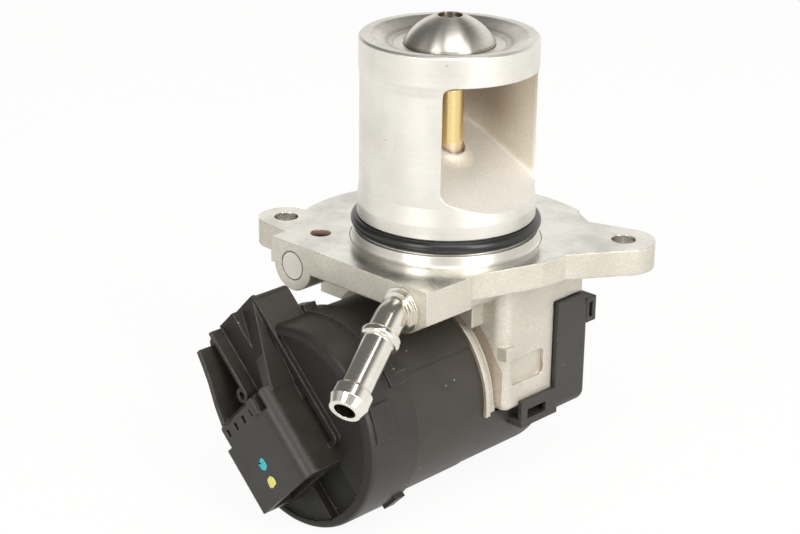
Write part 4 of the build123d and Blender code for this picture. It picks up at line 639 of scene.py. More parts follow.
class Zones:
    """Rules that tell where a patch lies, with lengths in millimetres in the part's own coordinates.

    A pair of limits says where a mask starts to rise and where it is full.
    """

    SPIGOT_SIDE = 23.3
    SPIGOT_RIM = 50.1
    SPIGOT_FOOT = 9.0
    OUTWARD = 0.85
    FLOOR_UP = 0.8
    # Painted shade deep in the duct: its reach in from the port, its height and its strength.
    DUCT_SHADE_ACROSS = (15.0, 1.0)
    DUCT_SHADE_HEIGHT = (24.0, 38.0)
    DUCT_SHADE_STRENGTH = 0.8
    HOLE_RADIUS = 3.1
    HOLE_MOUTH = -0.2
    HOLE_DEPTH = (-0.5, -2.6)
    # Painted highlight where the duct's floor meets its far wall: its facing, where it starts and is full,
    # and its strength.
    CREASE_NORMAL = (0.303, -0.707, 0.639)
    CREASE_TURN = (0.965, 0.99)
    CREASE_STRENGTH = 0.65
    CAP_BACK = -62.0
    CAP_FRONT = -0.6
    PORT_UPRIGHT = 0.9
    PORT_EDGE = (23.9, 24.2)
    DISH_RADIUS = 22.25
    DISH_HEIGHT = 52.0
    MILLED_HEIGHT = -1.0
    MILLED_UP = 0.7
    EAR_RADIUS = 3.6
    COLLAR_RADIUS = 31.0
    COLLAR_FRONT = -0.7
    PLUG_RADIUS = 3.95
    GUIDE_FOOT = 28.3
    CROWN_RADIUS = (3.9, 3.3)
    CROWN_HEIGHT = 58.0

    @staticmethod
    def within(graph: Graph, value: Socket, limits: Spot) -> Socket:
        """Masks a length that passes from one limit to another."""
        return graph.fade(value, limits[0] * MM, limits[1] * MM)

    @staticmethod
    def turned_spigot(graph: Graph) -> Socket:
        """Masks the spigot's round outside, its rim and dish, and its foot.

        Args:
            graph: The material's graph.

        Returns:
            The mask's socket.
        """
        x, y, z = graph.xyz()
        nx, ny, _ = graph.facing()
        radius = graph.reach(x, y)
        outward = graph.math("DIVIDE", graph.math("ADD", graph.times(x, nx), graph.times(y, ny)), radius)
        beyond = graph.above(radius, Zones.SPIGOT_SIDE * MM)
        outside = graph.times(beyond, graph.above(outward, Zones.OUTWARD))
        ends = graph.most(graph.above(z, Zones.SPIGOT_RIM * MM), graph.below(z, Zones.SPIGOT_FOOT * MM))
        return graph.most(outside, ends)

    @staticmethod
    def duct_floor(graph: Graph) -> Socket:
        """Masks the sloping floor of the duct."""
        return graph.above(graph.facing()[2], Zones.FLOOR_UP)

    @staticmethod
    def painted_duct_shade(graph: Graph) -> Socket:
        """Masks the upper wall deep in the duct, near the guide, where brown shade is painted.

        Args:
            graph: The material's graph.

        Returns:
            The mask's socket.
        """
        x, _, z = graph.xyz()
        inward = Zones.within(graph, x, Zones.DUCT_SHADE_ACROSS)
        high = Zones.within(graph, z, Zones.DUCT_SHADE_HEIGHT)
        return graph.times(graph.times(inward, high), Zones.DUCT_SHADE_STRENGTH)

    @staticmethod
    def painted_hole_shade(graph: Graph) -> Socket:
        """Masks the deeper wall of the small coolant hole, where shade is painted."""
        deep = Zones.within(graph, graph.xyz()[2], Zones.HOLE_DEPTH)
        return graph.times(Zones.coolant_hole(graph), deep)

    @staticmethod
    def crease_highlight(graph: Graph) -> Socket:
        """Masks a painted highlight line where the duct's floor turns up into its far wall.

        Args:
            graph: The material's graph.

        Returns:
            The mask's socket.
        """
        normal = graph.node("ShaderNodeNewGeometry").outputs["Normal"]
        turn = graph.along(normal, Zones.CREASE_NORMAL)
        return graph.times(graph.fade(turn, *Zones.CREASE_TURN), Zones.CREASE_STRENGTH)

    @staticmethod
    def cap_face(graph: Graph) -> Socket:
        """Masks the end cap's face behind the head."""
        behind = graph.above(graph.xyz()[1], Zones.CAP_BACK * MM)
        return graph.times(behind, graph.below(graph.facing()[1], Zones.CAP_FRONT))

    @staticmethod
    def port_edge(graph: Graph) -> Socket:
        """Masks a narrow strip down each side of the port.

        Args:
            graph: The material's graph.

        Returns:
            The mask's socket.
        """
        x, y, _ = graph.xyz()
        upright = graph.above(graph.math("ABSOLUTE", graph.facing()[1]), Zones.PORT_UPRIGHT)
        return graph.times(upright, Zones.within(graph, graph.reach(x, y), Zones.PORT_EDGE))

    @staticmethod
    def dish(graph: Graph) -> Socket:
        """Masks the slope of the dish inside the rim.

        Args:
            graph: The material's graph.

        Returns:
            The mask's socket.
        """
        x, y, z = graph.xyz()
        inside = graph.below(graph.reach(x, y), Zones.DISH_RADIUS * MM)
        return graph.times(inside, graph.above(z, Zones.DISH_HEIGHT * MM))

    @staticmethod
    def milled_face(graph: Graph) -> Socket:
        """Masks the faced top of the flange."""
        high = graph.above(graph.xyz()[2], Zones.MILLED_HEIGHT * MM)
        return graph.times(high, graph.above(graph.facing()[2], Zones.MILLED_UP))

    @staticmethod
    def drilled_ears(graph: Graph) -> Socket:
        """Masks the walls of the two ear holes.

        Args:
            graph: The material's graph.

        Returns:
            The mask's socket.
        """
        x, y, _ = graph.xyz()
        left, right = (graph.below(graph.reach(x, y, ear), Zones.EAR_RADIUS * MM) for ear in EARS)
        return graph.most(left, right)

    @staticmethod
    def coolant_hole(graph: Graph) -> Socket:
        """Masks the wall of the small coolant hole in the flange.

        Args:
            graph: The material's graph.

        Returns:
            The mask's socket.
        """
        x, y, z = graph.xyz()
        near = graph.below(graph.reach(x, y, COOLANT_HOLE), Zones.HOLE_RADIUS * MM)
        return graph.times(near, graph.below(z, Zones.HOLE_MOUTH * MM))

    @staticmethod
    def painted_collar_shade(graph: Graph) -> Socket:
        """Masks the cast wall behind the collar round the motor can, where brown shade is painted.

        Args:
            graph: The material's graph.

        Returns:
            The mask's socket.
        """
        x, _, z = graph.xyz()
        near = graph.below(graph.reach(x, z, MOTOR_AXIS), Zones.COLLAR_RADIUS * MM)
        return graph.times(near, graph.below(graph.facing()[1], Zones.COLLAR_FRONT))

    @staticmethod
    def plug_seam(graph: Graph) -> Socket:
        """Masks the dark seam round the pressed plug."""
        x, _, z = graph.xyz()
        return graph.above(graph.reach(x, z, PLUG), Zones.PLUG_RADIUS * MM)

    @staticmethod
    def guide_foot(graph: Graph) -> Socket:
        """Masks the pale foot of the stem guide."""
        return graph.below(graph.xyz()[2], Zones.GUIDE_FOOT * MM)

    @staticmethod
    def poppet_crown(graph: Graph) -> Socket:
        """Masks the crown in the middle of the poppet.

        Args:
            graph: The material's graph.

        Returns:
            The mask's socket.
        """
        x, y, z = graph.xyz()
        near = Zones.within(graph, graph.reach(x, y), Zones.CROWN_RADIUS)
        return graph.times(near, graph.above(z, Zones.CROWN_HEIGHT * MM))


@dataclass(frozen=True)
class Palette:
    """Every finish of the valve."""

    turned_aluminium: Finish = Finish(
        "turned aluminium", (0.865, 0.84, 0.77), (0.69, 0.665, 0.60), (0.94, 0.92, 0.87), metallic=1.0,
        roughness=0.38, rough_spread=0.08, grain_size=0.5, grain_depth=0.0008, speck=0.15, edge_radius=0.35,
        wear=0.5, turned=0.0012, ringed=0.15, handled=0.6, stretch=0.8, fleck=(0.25, 0.24, 0.22))
    turned_dish: Finish = Finish(
        "turned dish", (0.92, 0.89, 0.82), (0.32, 0.295, 0.26), (0.94, 0.92, 0.87), metallic=1.0,
        roughness=0.34, rough_spread=0.08, grain_size=0.5, grain_depth=0.001, speck=0.15, edge_radius=0.3,
        wear=0.6, turned=0.01, ringed=0.75, handled=0.5, stretch=0.7, fleck=(0.3, 0.29, 0.27))
    milled_aluminium: Finish = Finish(
        "milled aluminium", (0.82, 0.80, 0.735), (0.60, 0.58, 0.53), (0.90, 0.88, 0.82), metallic=1.0,
        roughness=0.22, rough_spread=0.16, grain_size=0.6, grain_depth=0.0012, speck=0.25, edge_radius=0.4,
        wear=0.6, handled=0.7, fleck=(0.3, 0.29, 0.27))
    cast_aluminium: Finish = Finish(
        "shot blasted aluminium", (0.635, 0.595, 0.515), (0.41, 0.38, 0.315), (0.88, 0.85, 0.78),
        metallic=0.5, roughness=0.48, rough_spread=0.1, grain_size=0.45, grain_depth=0.05, speck=0.45,
        edge_radius=0.7, wear=0.7, handled=0.4, fleck=(0.25, 0.23, 0.2))
    duct_aluminium: Finish = Finish(
        "sand cast duct", (0.80, 0.735, 0.625), (0.62, 0.56, 0.46), (0.92, 0.89, 0.82), metallic=0.3,
        roughness=0.55, rough_spread=0.1, grain_size=0.55, grain_depth=0.07, speck=0.5, edge_radius=0.9,
        wear=0.9, handled=0.3, fleck=(0.4, 0.36, 0.3))
    duct_floor: Finish = Finish(
        "lighter duct floor", (0.74, 0.705, 0.64), (0.58, 0.545, 0.48), (0.92, 0.90, 0.85), metallic=0.3,
        roughness=0.5, grain_size=0.55, grain_depth=0.07, speck=0.45, edge_radius=0.9, wear=0.9)
    # Brown colour of painted shade, deep in the duct and round the motor can.
    brown_painted_shade: Finish = Finish(
        "brown painted shade", (0.42, 0.345, 0.27), (0.27, 0.21, 0.155), (0.6, 0.53, 0.44), metallic=0.3,
        roughness=0.6, grain_size=0.55, grain_depth=0.07, speck=0.5)
    # Lighter colour of the painted highlight in the duct, and of burnish with painted highlight down the
    # port's edges.
    burnish_and_highlight: Finish = Finish(
        "burnish and painted highlight", (0.88, 0.86, 0.80), (0.74, 0.72, 0.67), (0.92, 0.91, 0.87), metallic=0.4,
        roughness=0.35, grain_depth=0.004, speck=0.2)
    coppery: Finish = Finish(
        "coppery wall", (0.66, 0.46, 0.35), (0.38, 0.20, 0.13), (0.8, 0.6, 0.45), metallic=0.6, roughness=0.4,
        grain_depth=0.01, speck=0.5)
    seam: Finish = Finish(
        "dark seam", (0.05, 0.045, 0.04), (0.10, 0.09, 0.08), (0.3, 0.28, 0.25), metallic=0.4, roughness=0.6)
    pressed_plug: Finish = Finish(
        "pressed plug", (0.70, 0.67, 0.585), (0.54, 0.51, 0.44), (0.8, 0.78, 0.74), metallic=0.7,
        roughness=0.38, rough_spread=0.12, grain_size=0.6, grain_depth=0.01, speck=0.35, edge_radius=0.3,
        handled=0.6)
    pale_foot: Finish = Finish(
        "pale foot of the guide", (0.80, 0.62, 0.42), (0.66, 0.48, 0.30), (0.92, 0.8, 0.62), metallic=0.8,
        roughness=0.4, grain_depth=0.006, speck=0.4)
    # Real heat tint on the poppet's crown and the stem head; the same dark colour is painted shade in the
    # coolant hole.
    heat_tint_and_shade: Finish = Finish(
        "heat tinted steel", (0.26, 0.20, 0.15), (0.14, 0.10, 0.07), (0.62, 0.55, 0.46), metallic=1.0,
        roughness=0.36, grain_size=0.6, grain_depth=0.02, speck=0.5, wear=0.9)
    satin_steel: Finish = Finish(
        "satin steel", (0.72, 0.69, 0.63), (0.48, 0.445, 0.395), (0.88, 0.85, 0.79), metallic=1.0,
        roughness=0.3, rough_spread=0.08, grain_size=0.8, grain_depth=0.0006, speck=0.15, edge_radius=0.3,
        turned=0.0012, ringed=0.3, handled=0.4, stretch=0.85, fleck=(0.2, 0.18, 0.16))
    hard_steel: Finish = Finish(
        "hardened steel", (0.42, 0.42, 0.43), (0.30, 0.30, 0.31), (0.7, 0.7, 0.7), metallic=1.0,
        roughness=0.33, grain_depth=0.003)
    bronze: Finish = Finish(
        "bronze", (0.86, 0.66, 0.32), (0.72, 0.50, 0.20), (0.94, 0.80, 0.5), metallic=1.0, roughness=0.24,
        grain_depth=0.001, speck=0.15, handled=0.15, stretch=0.6)
    plating: Finish = Finish(
        "bright plating", (0.86, 0.825, 0.75), (0.70, 0.655, 0.575), (0.92, 0.88, 0.80), metallic=1.0,
        roughness=0.13, rough_spread=0.1, grain_size=0.8, grain_depth=0.005, speck=0.15, edge_radius=0.25,
        wear=0.3, handled=0.6, fleck=(0.3, 0.26, 0.2))
    rubber: Finish = Finish(
        "black rubber", (0.008, 0.008, 0.008), (0.018, 0.017, 0.016), (0.02, 0.02, 0.02), roughness=0.24,
        rough_spread=0.15, grain_depth=0.003, speck=0.2, handled=0.4, fleck=(0.06, 0.058, 0.055))
    dark_plastic: Finish = Finish(
        "dark moulded plastic", (0.0195, 0.0165, 0.0135), (0.037, 0.0325, 0.0265), (0.11, 0.10, 0.085),
        roughness=0.38, rough_spread=0.14, grain_size=0.35, grain_depth=0.01, speck=0.35, edge_radius=0.7,
        wear=0.7, handled=0.55, specular=0.42)
    sunk_plastic: Finish = Finish(
        "darker face of the cap", (0.008, 0.007, 0.0055), (0.014, 0.0125, 0.010), (0.07, 0.063, 0.053),
        roughness=0.62, rough_spread=0.1, grain_size=0.35, grain_depth=0.012, speck=0.35, edge_radius=0.7,
        wear=0.7, handled=0.4)
    cover_plastic: Finish = Finish(
        "grey moulded plastic", (0.036, 0.0325, 0.028), (0.052, 0.047, 0.041), (0.10, 0.093, 0.083),
        roughness=0.46, rough_spread=0.12, grain_size=0.4, grain_depth=0.01, speck=0.3, edge_radius=0.45,
        wear=0.5, handled=0.45, specular=0.38)
    can_coating: Finish = Finish(
        "coated can", (0.030, 0.0250, 0.0195), (0.047, 0.040, 0.032), (0.09, 0.08, 0.066),
        roughness=0.38, rough_spread=0.16, grain_size=0.5, grain_depth=0.007, speck=0.3, edge_radius=0.3,
        wear=0.4, handled=0.6, specular=0.38)
    cyan_paint: Finish = Finish(
        "cyan paint", (0.03, 0.42, 0.47), (0.02, 0.30, 0.36), (0.1, 0.55, 0.6), roughness=0.5,
        grain_size=0.3, grain_depth=0.03, speck=0.5, coat=0.1)
    yellow_paint: Finish = Finish(
        "yellow paint", (0.66, 0.62, 0.16), (0.50, 0.46, 0.10), (0.8, 0.78, 0.4), roughness=0.5,
        grain_size=0.3, grain_depth=0.03, speck=0.5, coat=0.1)
    gear_plastic: Finish = Finish(
        "natural gear plastic", (0.80, 0.76, 0.64), (0.70, 0.66, 0.54), (0.88, 0.85, 0.78), roughness=0.5,
        grain_depth=0.006)
    laminations: Finish = Finish(
        "oiled laminations", (0.30, 0.30, 0.31), (0.2, 0.19, 0.18), (0.5, 0.5, 0.5), metallic=1.0,
        roughness=0.42, grain_depth=0.006)
    ferrite: Finish = Finish(
        "ferrite", (0.06, 0.06, 0.065), (0.1, 0.1, 0.1), (0.16, 0.16, 0.16), roughness=0.6, grain_depth=0.02)
    copper: Finish = Finish(
        "bare copper", (0.74, 0.38, 0.22), (0.55, 0.26, 0.15), (0.9, 0.6, 0.45), metallic=1.0, roughness=0.3,
        grain_depth=0.003)
    carbon: Finish = Finish(
        "carbon", (0.03, 0.03, 0.03), (0.06, 0.06, 0.06), (0.12, 0.12, 0.12), roughness=0.6, grain_depth=0.01)
    board: Finish = Finish(
        "coated board", (0.02, 0.11, 0.05), (0.03, 0.15, 0.07), (0.1, 0.25, 0.15), roughness=0.35,
        grain_depth=0.004, coat=0.3)


@dataclass(frozen=True)
class Wardrobe:
    """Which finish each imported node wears."""

    palette: Palette = Palette()

    def looks(self) -> dict[str, list[str]]:
        """Lists the nodes that wear one finish, under its field of the palette.

        Returns:
            Names by finish.
        """
        return {
            "satin_steel": ["valve_stem", "seat_ring"],
            "hard_steel": ["return_spring", "spring_seat", "stem_yoke", "yoke_pin", "crank_disc",
                           "crank_roller", "output_shaft", "gear_pin", "plate_screws",
                           "motor_shaft", "motor_screws"],
            "bronze": ["output_bush", "motor_pinion", "rear_bearing", "front_bearing"],
            "plating": ["coolant_nozzle"],
            "rubber": ["port_seal", "stem_seal", "motor_seal", "cover_gasket"],
            "dark_plastic": ["brush_card"],
            "cover_plastic": ["gear_cover"],
            "can_coating": ["motor_can"],
            "gear_plastic": ["sector_gear", "intermediate_gear"],
            "laminations": ["rotor_core", "flux_ring"],
            "ferrite": ["magnets", "sensor_magnet"],
            "copper": ["rotor_winding", "commutator", "connector_terminals"],
            "carbon": ["brushes"],
            "board": ["control_board"],
            "cast_aluminium": ["bearing_plate"],
        }

    def patched(self) -> dict[str, Patched]:
        """Lists the nodes whose surface has more than one finish.

        Returns:
            Patched materials by node.
        """
        p = self.palette
        return {
            "spigot": Patched("spigot metal", p.duct_aluminium, (
                Patch(p.duct_floor, Zones.duct_floor),
                # Painted shade, brown, on the upper wall deep in the duct near the guide.
                Patch(p.brown_painted_shade, Zones.painted_duct_shade),
                # Painted highlight along the line where the duct's floor turns up into its far wall.
                Patch(p.burnish_and_highlight, Zones.crease_highlight),
                # Lighter strip down each side of the port: burnish, with a painted highlight.
                Patch(p.burnish_and_highlight, Zones.port_edge),
                Patch(p.turned_aluminium, Zones.turned_spigot),
                Patch(p.turned_dish, Zones.dish),
            )),
            "valve_housing": Patched("housing metal", p.cast_aluminium, (
                Patch(p.milled_aluminium, Zones.milled_face),
                # Painted shade, brown, on the cast wall behind the collar round the motor can.
                Patch(p.brown_painted_shade, Zones.painted_collar_shade),
                Patch(p.milled_aluminium, Zones.drilled_ears),
                Patch(p.coppery, Zones.coolant_hole),
                # Painted shade down the deeper wall of the coolant hole.
                Patch(p.heat_tint_and_shade, Zones.painted_hole_shade),
            )),
            "coolant_plug": Patched("plug metal", p.pressed_plug, (Patch(p.seam, Zones.plug_seam),)),
            "stem_guide": Patched("guide metal", p.bronze, (Patch(p.pale_foot, Zones.guide_foot),)),
            "end_cap": Patched("cap plastic", p.dark_plastic, (Patch(p.sunk_plastic, Zones.cap_face),)),
            "poppet": Patched("poppet metal", p.satin_steel, (Patch(p.heat_tint_and_shade, Zones.poppet_crown),)),
        }

    def dress(self, nodes: dict[str, Piece], effects: Effects) -> None:
        """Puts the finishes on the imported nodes.

        Args:
            nodes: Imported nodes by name.
            effects: Shared groups.
        """
        for field_name, names in self.looks().items():
            made = getattr(self.palette, field_name).material(effects)
            for name in names:
                self.wear(nodes[name], made)
        for name, made in self.patched().items():
            self.wear(nodes[name], made.material(effects))
        LOG.info("dressed %d nodes", len(nodes))

    @staticmethod
    def wear(piece: Piece, made: Material) -> None:
        """Gives every material slot of a piece one material.

        Args:
            piece: Mesh object.
            made: The material.
        """
        if not piece.material_slots:
            piece.data.materials.append(made)
        for slot in piece.material_slots:
            slot.material = made


class Bench:
    """Modelling steps that several pieces share."""

    @staticmethod
    def clear() -> None:
        """Leaves edit mode and deselects everything."""
        if bpy.context.mode != "OBJECT":
            bpy.ops.object.mode_set(mode="OBJECT")
        bpy.ops.object.select_all(action="DESELECT")

    @staticmethod
    def pick(piece: Piece) -> None:
        """Makes a piece the only one selected, and the active one.

        Args:
            piece: The piece.
        """
        Bench.clear()
        piece.select_set(True)
        bpy.context.view_layer.objects.active = piece

    @staticmethod
    def close(merge: float = 0.0) -> None:
        """Turns the faces of the piece in edit mode outwards, and leaves edit mode.

        Args:
            merge: Metres under which corners are merged first, or 0 to merge none.
        """
        bpy.ops.mesh.select_all(action="SELECT")
        if merge:
            bpy.ops.mesh.remove_doubles(threshold=merge)
        bpy.ops.mesh.normals_make_consistent(inside=False)
        bpy.ops.object.mode_set(mode="OBJECT")

    @staticmethod
    def smooth(angle: float = 50.0) -> None:
        """Smooths the shading across edges flatter than an angle in degrees."""
        bpy.ops.object.shade_smooth_by_angle(angle=math.radians(angle))

    @staticmethod
    def turned(name: str, profile: list[Spot], hollow: bool, sides: int = 96) -> Piece:
        """Builds a ring or a round solid by extruding and scaling a circle along a profile.

        Args:
            name: Piece's name.
            profile: Radius and height of each corner, in millimetres, from the bottom round the outside.
            hollow: Whether the profile closes on itself, which makes a ring.
            sides: Sides of the circle.

        Returns:
            The new object, its place in its mesh.
        """
        Bench.clear()
        radius, height = profile[0]
        bpy.ops.mesh.primitive_circle_add(
            vertices=sides, radius=radius * MM, fill_type="NOTHING" if hollow else "NGON",
            location=(0.0, 0.0, height * MM))
        piece = bpy.context.object
        piece.name = name
        bpy.ops.object.transform_apply(location=True, rotation=True, scale=True)
        bpy.ops.object.mode_set(mode="EDIT")
        bpy.ops.mesh.select_all(action="SELECT")
        for next_radius, next_height in profile[1:] + (profile[:1] if hollow else []):
            bpy.ops.mesh.extrude_region_move(
                TRANSFORM_OT_translate={"value": (0.0, 0.0, (next_height - height) * MM)})
            factor = next_radius / radius
            bpy.ops.transform.resize(
                value=(factor, factor, 1.0), center_override=(0.0, 0.0, next_height * MM))
            radius, height = next_radius, next_height
        Bench.close(merge=1e-6)
        return piece

    @staticmethod
    def round_edges(piece: Piece, width: float, segments: int = 3, above: float = 25.0) -> None:
        """Rounds the edges of a piece and smooths its shading.

        Args:
            piece: The piece.
            width: Width of the rounding in millimetres.
            segments: Steps in the rounding.
            above: Least angle of an edge that is rounded, in degrees.
        """
        Bench.pick(piece)
        rounding = piece.modifiers.new("rounding", "BEVEL")
        rounding.width = width * MM
        rounding.segments = segments
        rounding.limit_method = "ANGLE"
        rounding.angle_limit = math.radians(above)
        bpy.ops.object.modifier_apply(modifier=rounding.name)
        Bench.smooth(40.0)

    @staticmethod
    def settle(piece: Piece, made: Material, body: Body) -> None:
        """Gives a piece its material and the body it rides on.

        Args:
            piece: The piece.
            made: Its material.
            body: The body.
        """
        Wardrobe.wear(piece, made)
        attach(piece, body.value)
        LOG.info("%s rides on %s with %d faces", piece.name, body.value, len(piece.data.polygons))


@dataclass(frozen=True)
class SealShoulder:
    """Low turned shoulder that the seal ring rests on, at the foot of the spigot.

    Args:
        inner: Radius inside the spigot's foot band.
        outer: Radius of its round side.
        height: Top of the shoulder above the flange.
        depth: How far it stands down in the flange's relief.
        flare: Radius where it runs out into the flange.
        toe: Height of its outer edge at the flange.
        fillet: Step out from the round side, and height, of the middle of its fillet.
        fillet_top: Height where the fillet meets the round side.
        edge: Width of the rounding of its edges.
    """

    inner: float = 25.1
    outer: float = 26.5
    height: float = 3.1
    depth: float = 0.78
    flare: float = 27.2
    toe: float = -0.05
    fillet: Spot = (0.25, 0.3)
    fillet_top: float = 0.9
    edge: float = 0.22

    def build(self, finish: Finish, effects: Effects) -> None:
        """Models the shoulder and dresses it.

        Args:
            finish: Its finish.
            effects: Shared groups.
        """
        piece = Bench.turned("seal_shoulder", [
            (self.inner, -self.depth), (self.flare, -self.depth), (self.flare, self.toe),
            (self.outer + self.fillet[0], self.fillet[1]), (self.outer, self.fillet_top),
            (self.outer, self.height), (self.inner, self.height),
        ], hollow=True, sides=160)
        Bench.round_edges(piece, self.edge)
        Bench.settle(piece, finish.material(effects), Body.HOUSING)


@dataclass(frozen=True)
class GuideFillet:
    """Cast fillet where the stem guide leaves the sloping floor of the duct.

    Args:
        inner: Radius at the guide.
        outer: Radius where it runs out into the floor.
        rise: Height up the guide.
        floor: Height of the floor on the guide's axis.
        slope: Fall of the floor towards the side port.
        steps: Steps in the fillet's curve.
        root: Depth that its skirt stands in the floor.
        skirt: How far the skirt reaches past its outer edge.
        skirt_top: Depth of the skirt's top under the floor.
        lift: Height over the floor where the curve runs out.
    """

    inner: float = 4.26
    outer: float = 7.4
    rise: float = 2.5
    floor: float = 25.33
    slope: float = 0.475
    steps: int = 7
    root: float = 0.8
    skirt: float = 1.2
    skirt_top: float = 0.2
    lift: float = 0.01

    def build(self, finish: Finish, effects: Effects) -> None:
        """Models the fillet and dresses it.

        Args:
            finish: Its finish.
            effects: Shared groups.
        """
        across = self.outer - self.inner
        foot = self.outer + self.skirt
        profile = [(self.inner, -self.root), (foot, -self.root), (foot, -self.skirt_top)]
        for step in range(self.steps + 1):
            turn = math.pi / 2 * step / self.steps
            height = self.rise * (1 - math.cos(turn)) + self.lift
            profile.append((self.outer - across * math.sin(turn), height))
        piece = Bench.turned("guide_fillet", profile, hollow=True, sides=72)
        tilt = math.atan(self.slope)
        Bench.pick(piece)
        piece.scale = (1 / math.cos(tilt), 1.0, 1.0)
        piece.rotation_euler = (0.0, tilt, 0.0)
        piece.location = (0.0, 0.0, self.floor * MM)
        bpy.ops.object.transform_apply(location=True, rotation=True, scale=True)
        Bench.smooth()
        Bench.settle(piece, finish.material(effects), Body.HOUSING)


@dataclass(frozen=True)
class StemHead:
    """Peened end of the stem in the poppet's crown.

    Args:
        radius: Radius of the head.
        floor_drop: Depth of the crown's floor below its rim.
        corners: Share of the radius, and height above the crown's floor, of each corner.
        edge: Width of the rounding of its edges.
    """

    radius: float = 2.7
    floor_drop: float = 1.5
    corners: tuple[Spot, ...] = (
        (0.9, -0.1), (1.0, 0.35), (0.86, 0.8), (0.55, 1.15), (0.34, 1.0), (0.12, 0.75))
    edge: float = 0.12

    def build(self, finish: Finish, effects: Effects) -> None:
        """Models the head and dresses it.

        Args:
            finish: Its finish.
            effects: Shared groups.
        """
        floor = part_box("poppet")[1][2] / MM - self.floor_drop
        profile = [(self.radius * share, floor + height) for share, height in self.corners]
        piece = Bench.turned("stem_head", profile, hollow=False, sides=40)
        Bench.round_edges(piece, self.edge, above=20.0)
        Bench.settle(piece, finish.material(effects), Body.VALVE)


@dataclass(frozen=True)
class ReturnCoil:
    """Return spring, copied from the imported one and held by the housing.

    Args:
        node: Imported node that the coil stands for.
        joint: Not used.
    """

    node: str = "return_spring"
    joint: str = "valve_lift"

    def build(self, frame: dict, finish: Finish, effects: Effects) -> None:
        """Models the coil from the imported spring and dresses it.

        Args:
            frame: Loaded frame.
            finish: Its finish.
            effects: Shared groups.
        """
        piece = bpy.data.objects.new("return_coil", frame["nodes"][self.node].data.copy())
        bpy.context.scene.collection.objects.link(piece)
        Bench.pick(piece)
        bpy.ops.object.mode_set(mode="EDIT")
        Bench.close(merge=1e-7)
        Bench.smooth()
        low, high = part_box(self.node)
        Bench.settle(piece, finish.material(effects), Body.HOUSING)
        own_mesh(piece)
        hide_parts(self.node)


@dataclass(frozen=True)
class PaintMarks:
    """Two dabs of marking paint on the front of the plug housing.

    Args:
        tilt: Degrees that the head is turned about the motor's axis.
        face: Y of the plug housing's front.
        thickness: Thickness of the paint.
        sunk: Depth of its back in the housing's face.
        radius: Rough radius of a dab.
        ragged: Unevenness of the outline, as a share of the radius.
        brim: Width of the rounded brim, as a share of the radius.
        crown: Rise of the middle over the brim.
        cyan: Place of the first dab along and across the head.
        yellow: Place of the second dab.
    """

    tilt: float = 44.0
    face: float = -68.2
    thickness: float = 0.12
    sunk: float = 0.04
    radius: float = 1.75
    ragged: float = 0.4
    brim: float = 0.22
    crown: float = 0.03
    cyan: Spot = (4.5, -5.4)
    yellow: Spot = (9.8, -5.9)

    def place(self, u: float, w: float) -> Vector:
        """Finds the middle of a dab's back.

        Args:
            u: Millimetres along the head.
            w: Millimetres across the head.

        Returns:
            The point in metres.
        """
        c, s = math.cos(math.radians(self.tilt)), math.sin(math.radians(self.tilt))
        x, z = MOTOR_AXIS[0] + u * c + w * s, MOTOR_AXIS[1] - u * s + w * c
        return Vector((x * MM, (self.face + self.sunk) * MM, z * MM))

    def dab(self, name: str, spot: Spot, seed: int) -> Piece:
        """Models one dab as a low uneven drop.

        Args:
            name: Piece's name.
            spot: Place along and across the head.
            seed: Seed of its outline.

        Returns:
            The new object.
        """
        Bench.clear()
        middle = self.place(*spot)
        bpy.ops.mesh.primitive_circle_add(
            vertices=18, radius=self.radius * MM, fill_type="NGON", location=middle,
            rotation=(math.pi / 2, 0.0, 0.0))
        piece = bpy.context.object
        piece.name = name
        bpy.ops.object.transform_apply(location=True, rotation=True, scale=True)
        bpy.ops.object.mode_set(mode="EDIT")
        bpy.ops.mesh.select_all(action="SELECT")
        bpy.ops.transform.vertex_random(
            offset=self.ragged * self.radius * MM, uniform=0.0, normal=0.0, seed=seed)
        bpy.ops.transform.resize(value=(1.0, 0.0, 1.0), center_override=middle)
        bpy.ops.mesh.extrude_region_move(
            TRANSFORM_OT_translate={"value": (0.0, -(self.thickness + self.sunk) * MM, 0.0)})
        bpy.ops.mesh.inset(thickness=self.brim * self.radius * MM, depth=self.crown * MM)
        Bench.close()
        smooth = piece.modifiers.new("smooth", "SUBSURF")
        smooth.levels = 2
        smooth.render_levels = 2
        bpy.ops.object.modifier_apply(modifier=smooth.name)
        Bench.smooth(60.0)
        return piece

    def build(self, palette: Palette, effects: Effects) -> None:
        """Models both dabs and dresses them.

        Args:
            palette: Finishes of the valve.
            effects: Shared groups.
        """
        for name, spot, seed, finish in (("paint_dab_1", self.cyan, 3, palette.cyan_paint),
                                         ("paint_dab_2", self.yellow, 8, palette.yellow_paint)):
            Bench.settle(self.dab(name, spot, seed), finish.material(effects), Body.HOUSING)


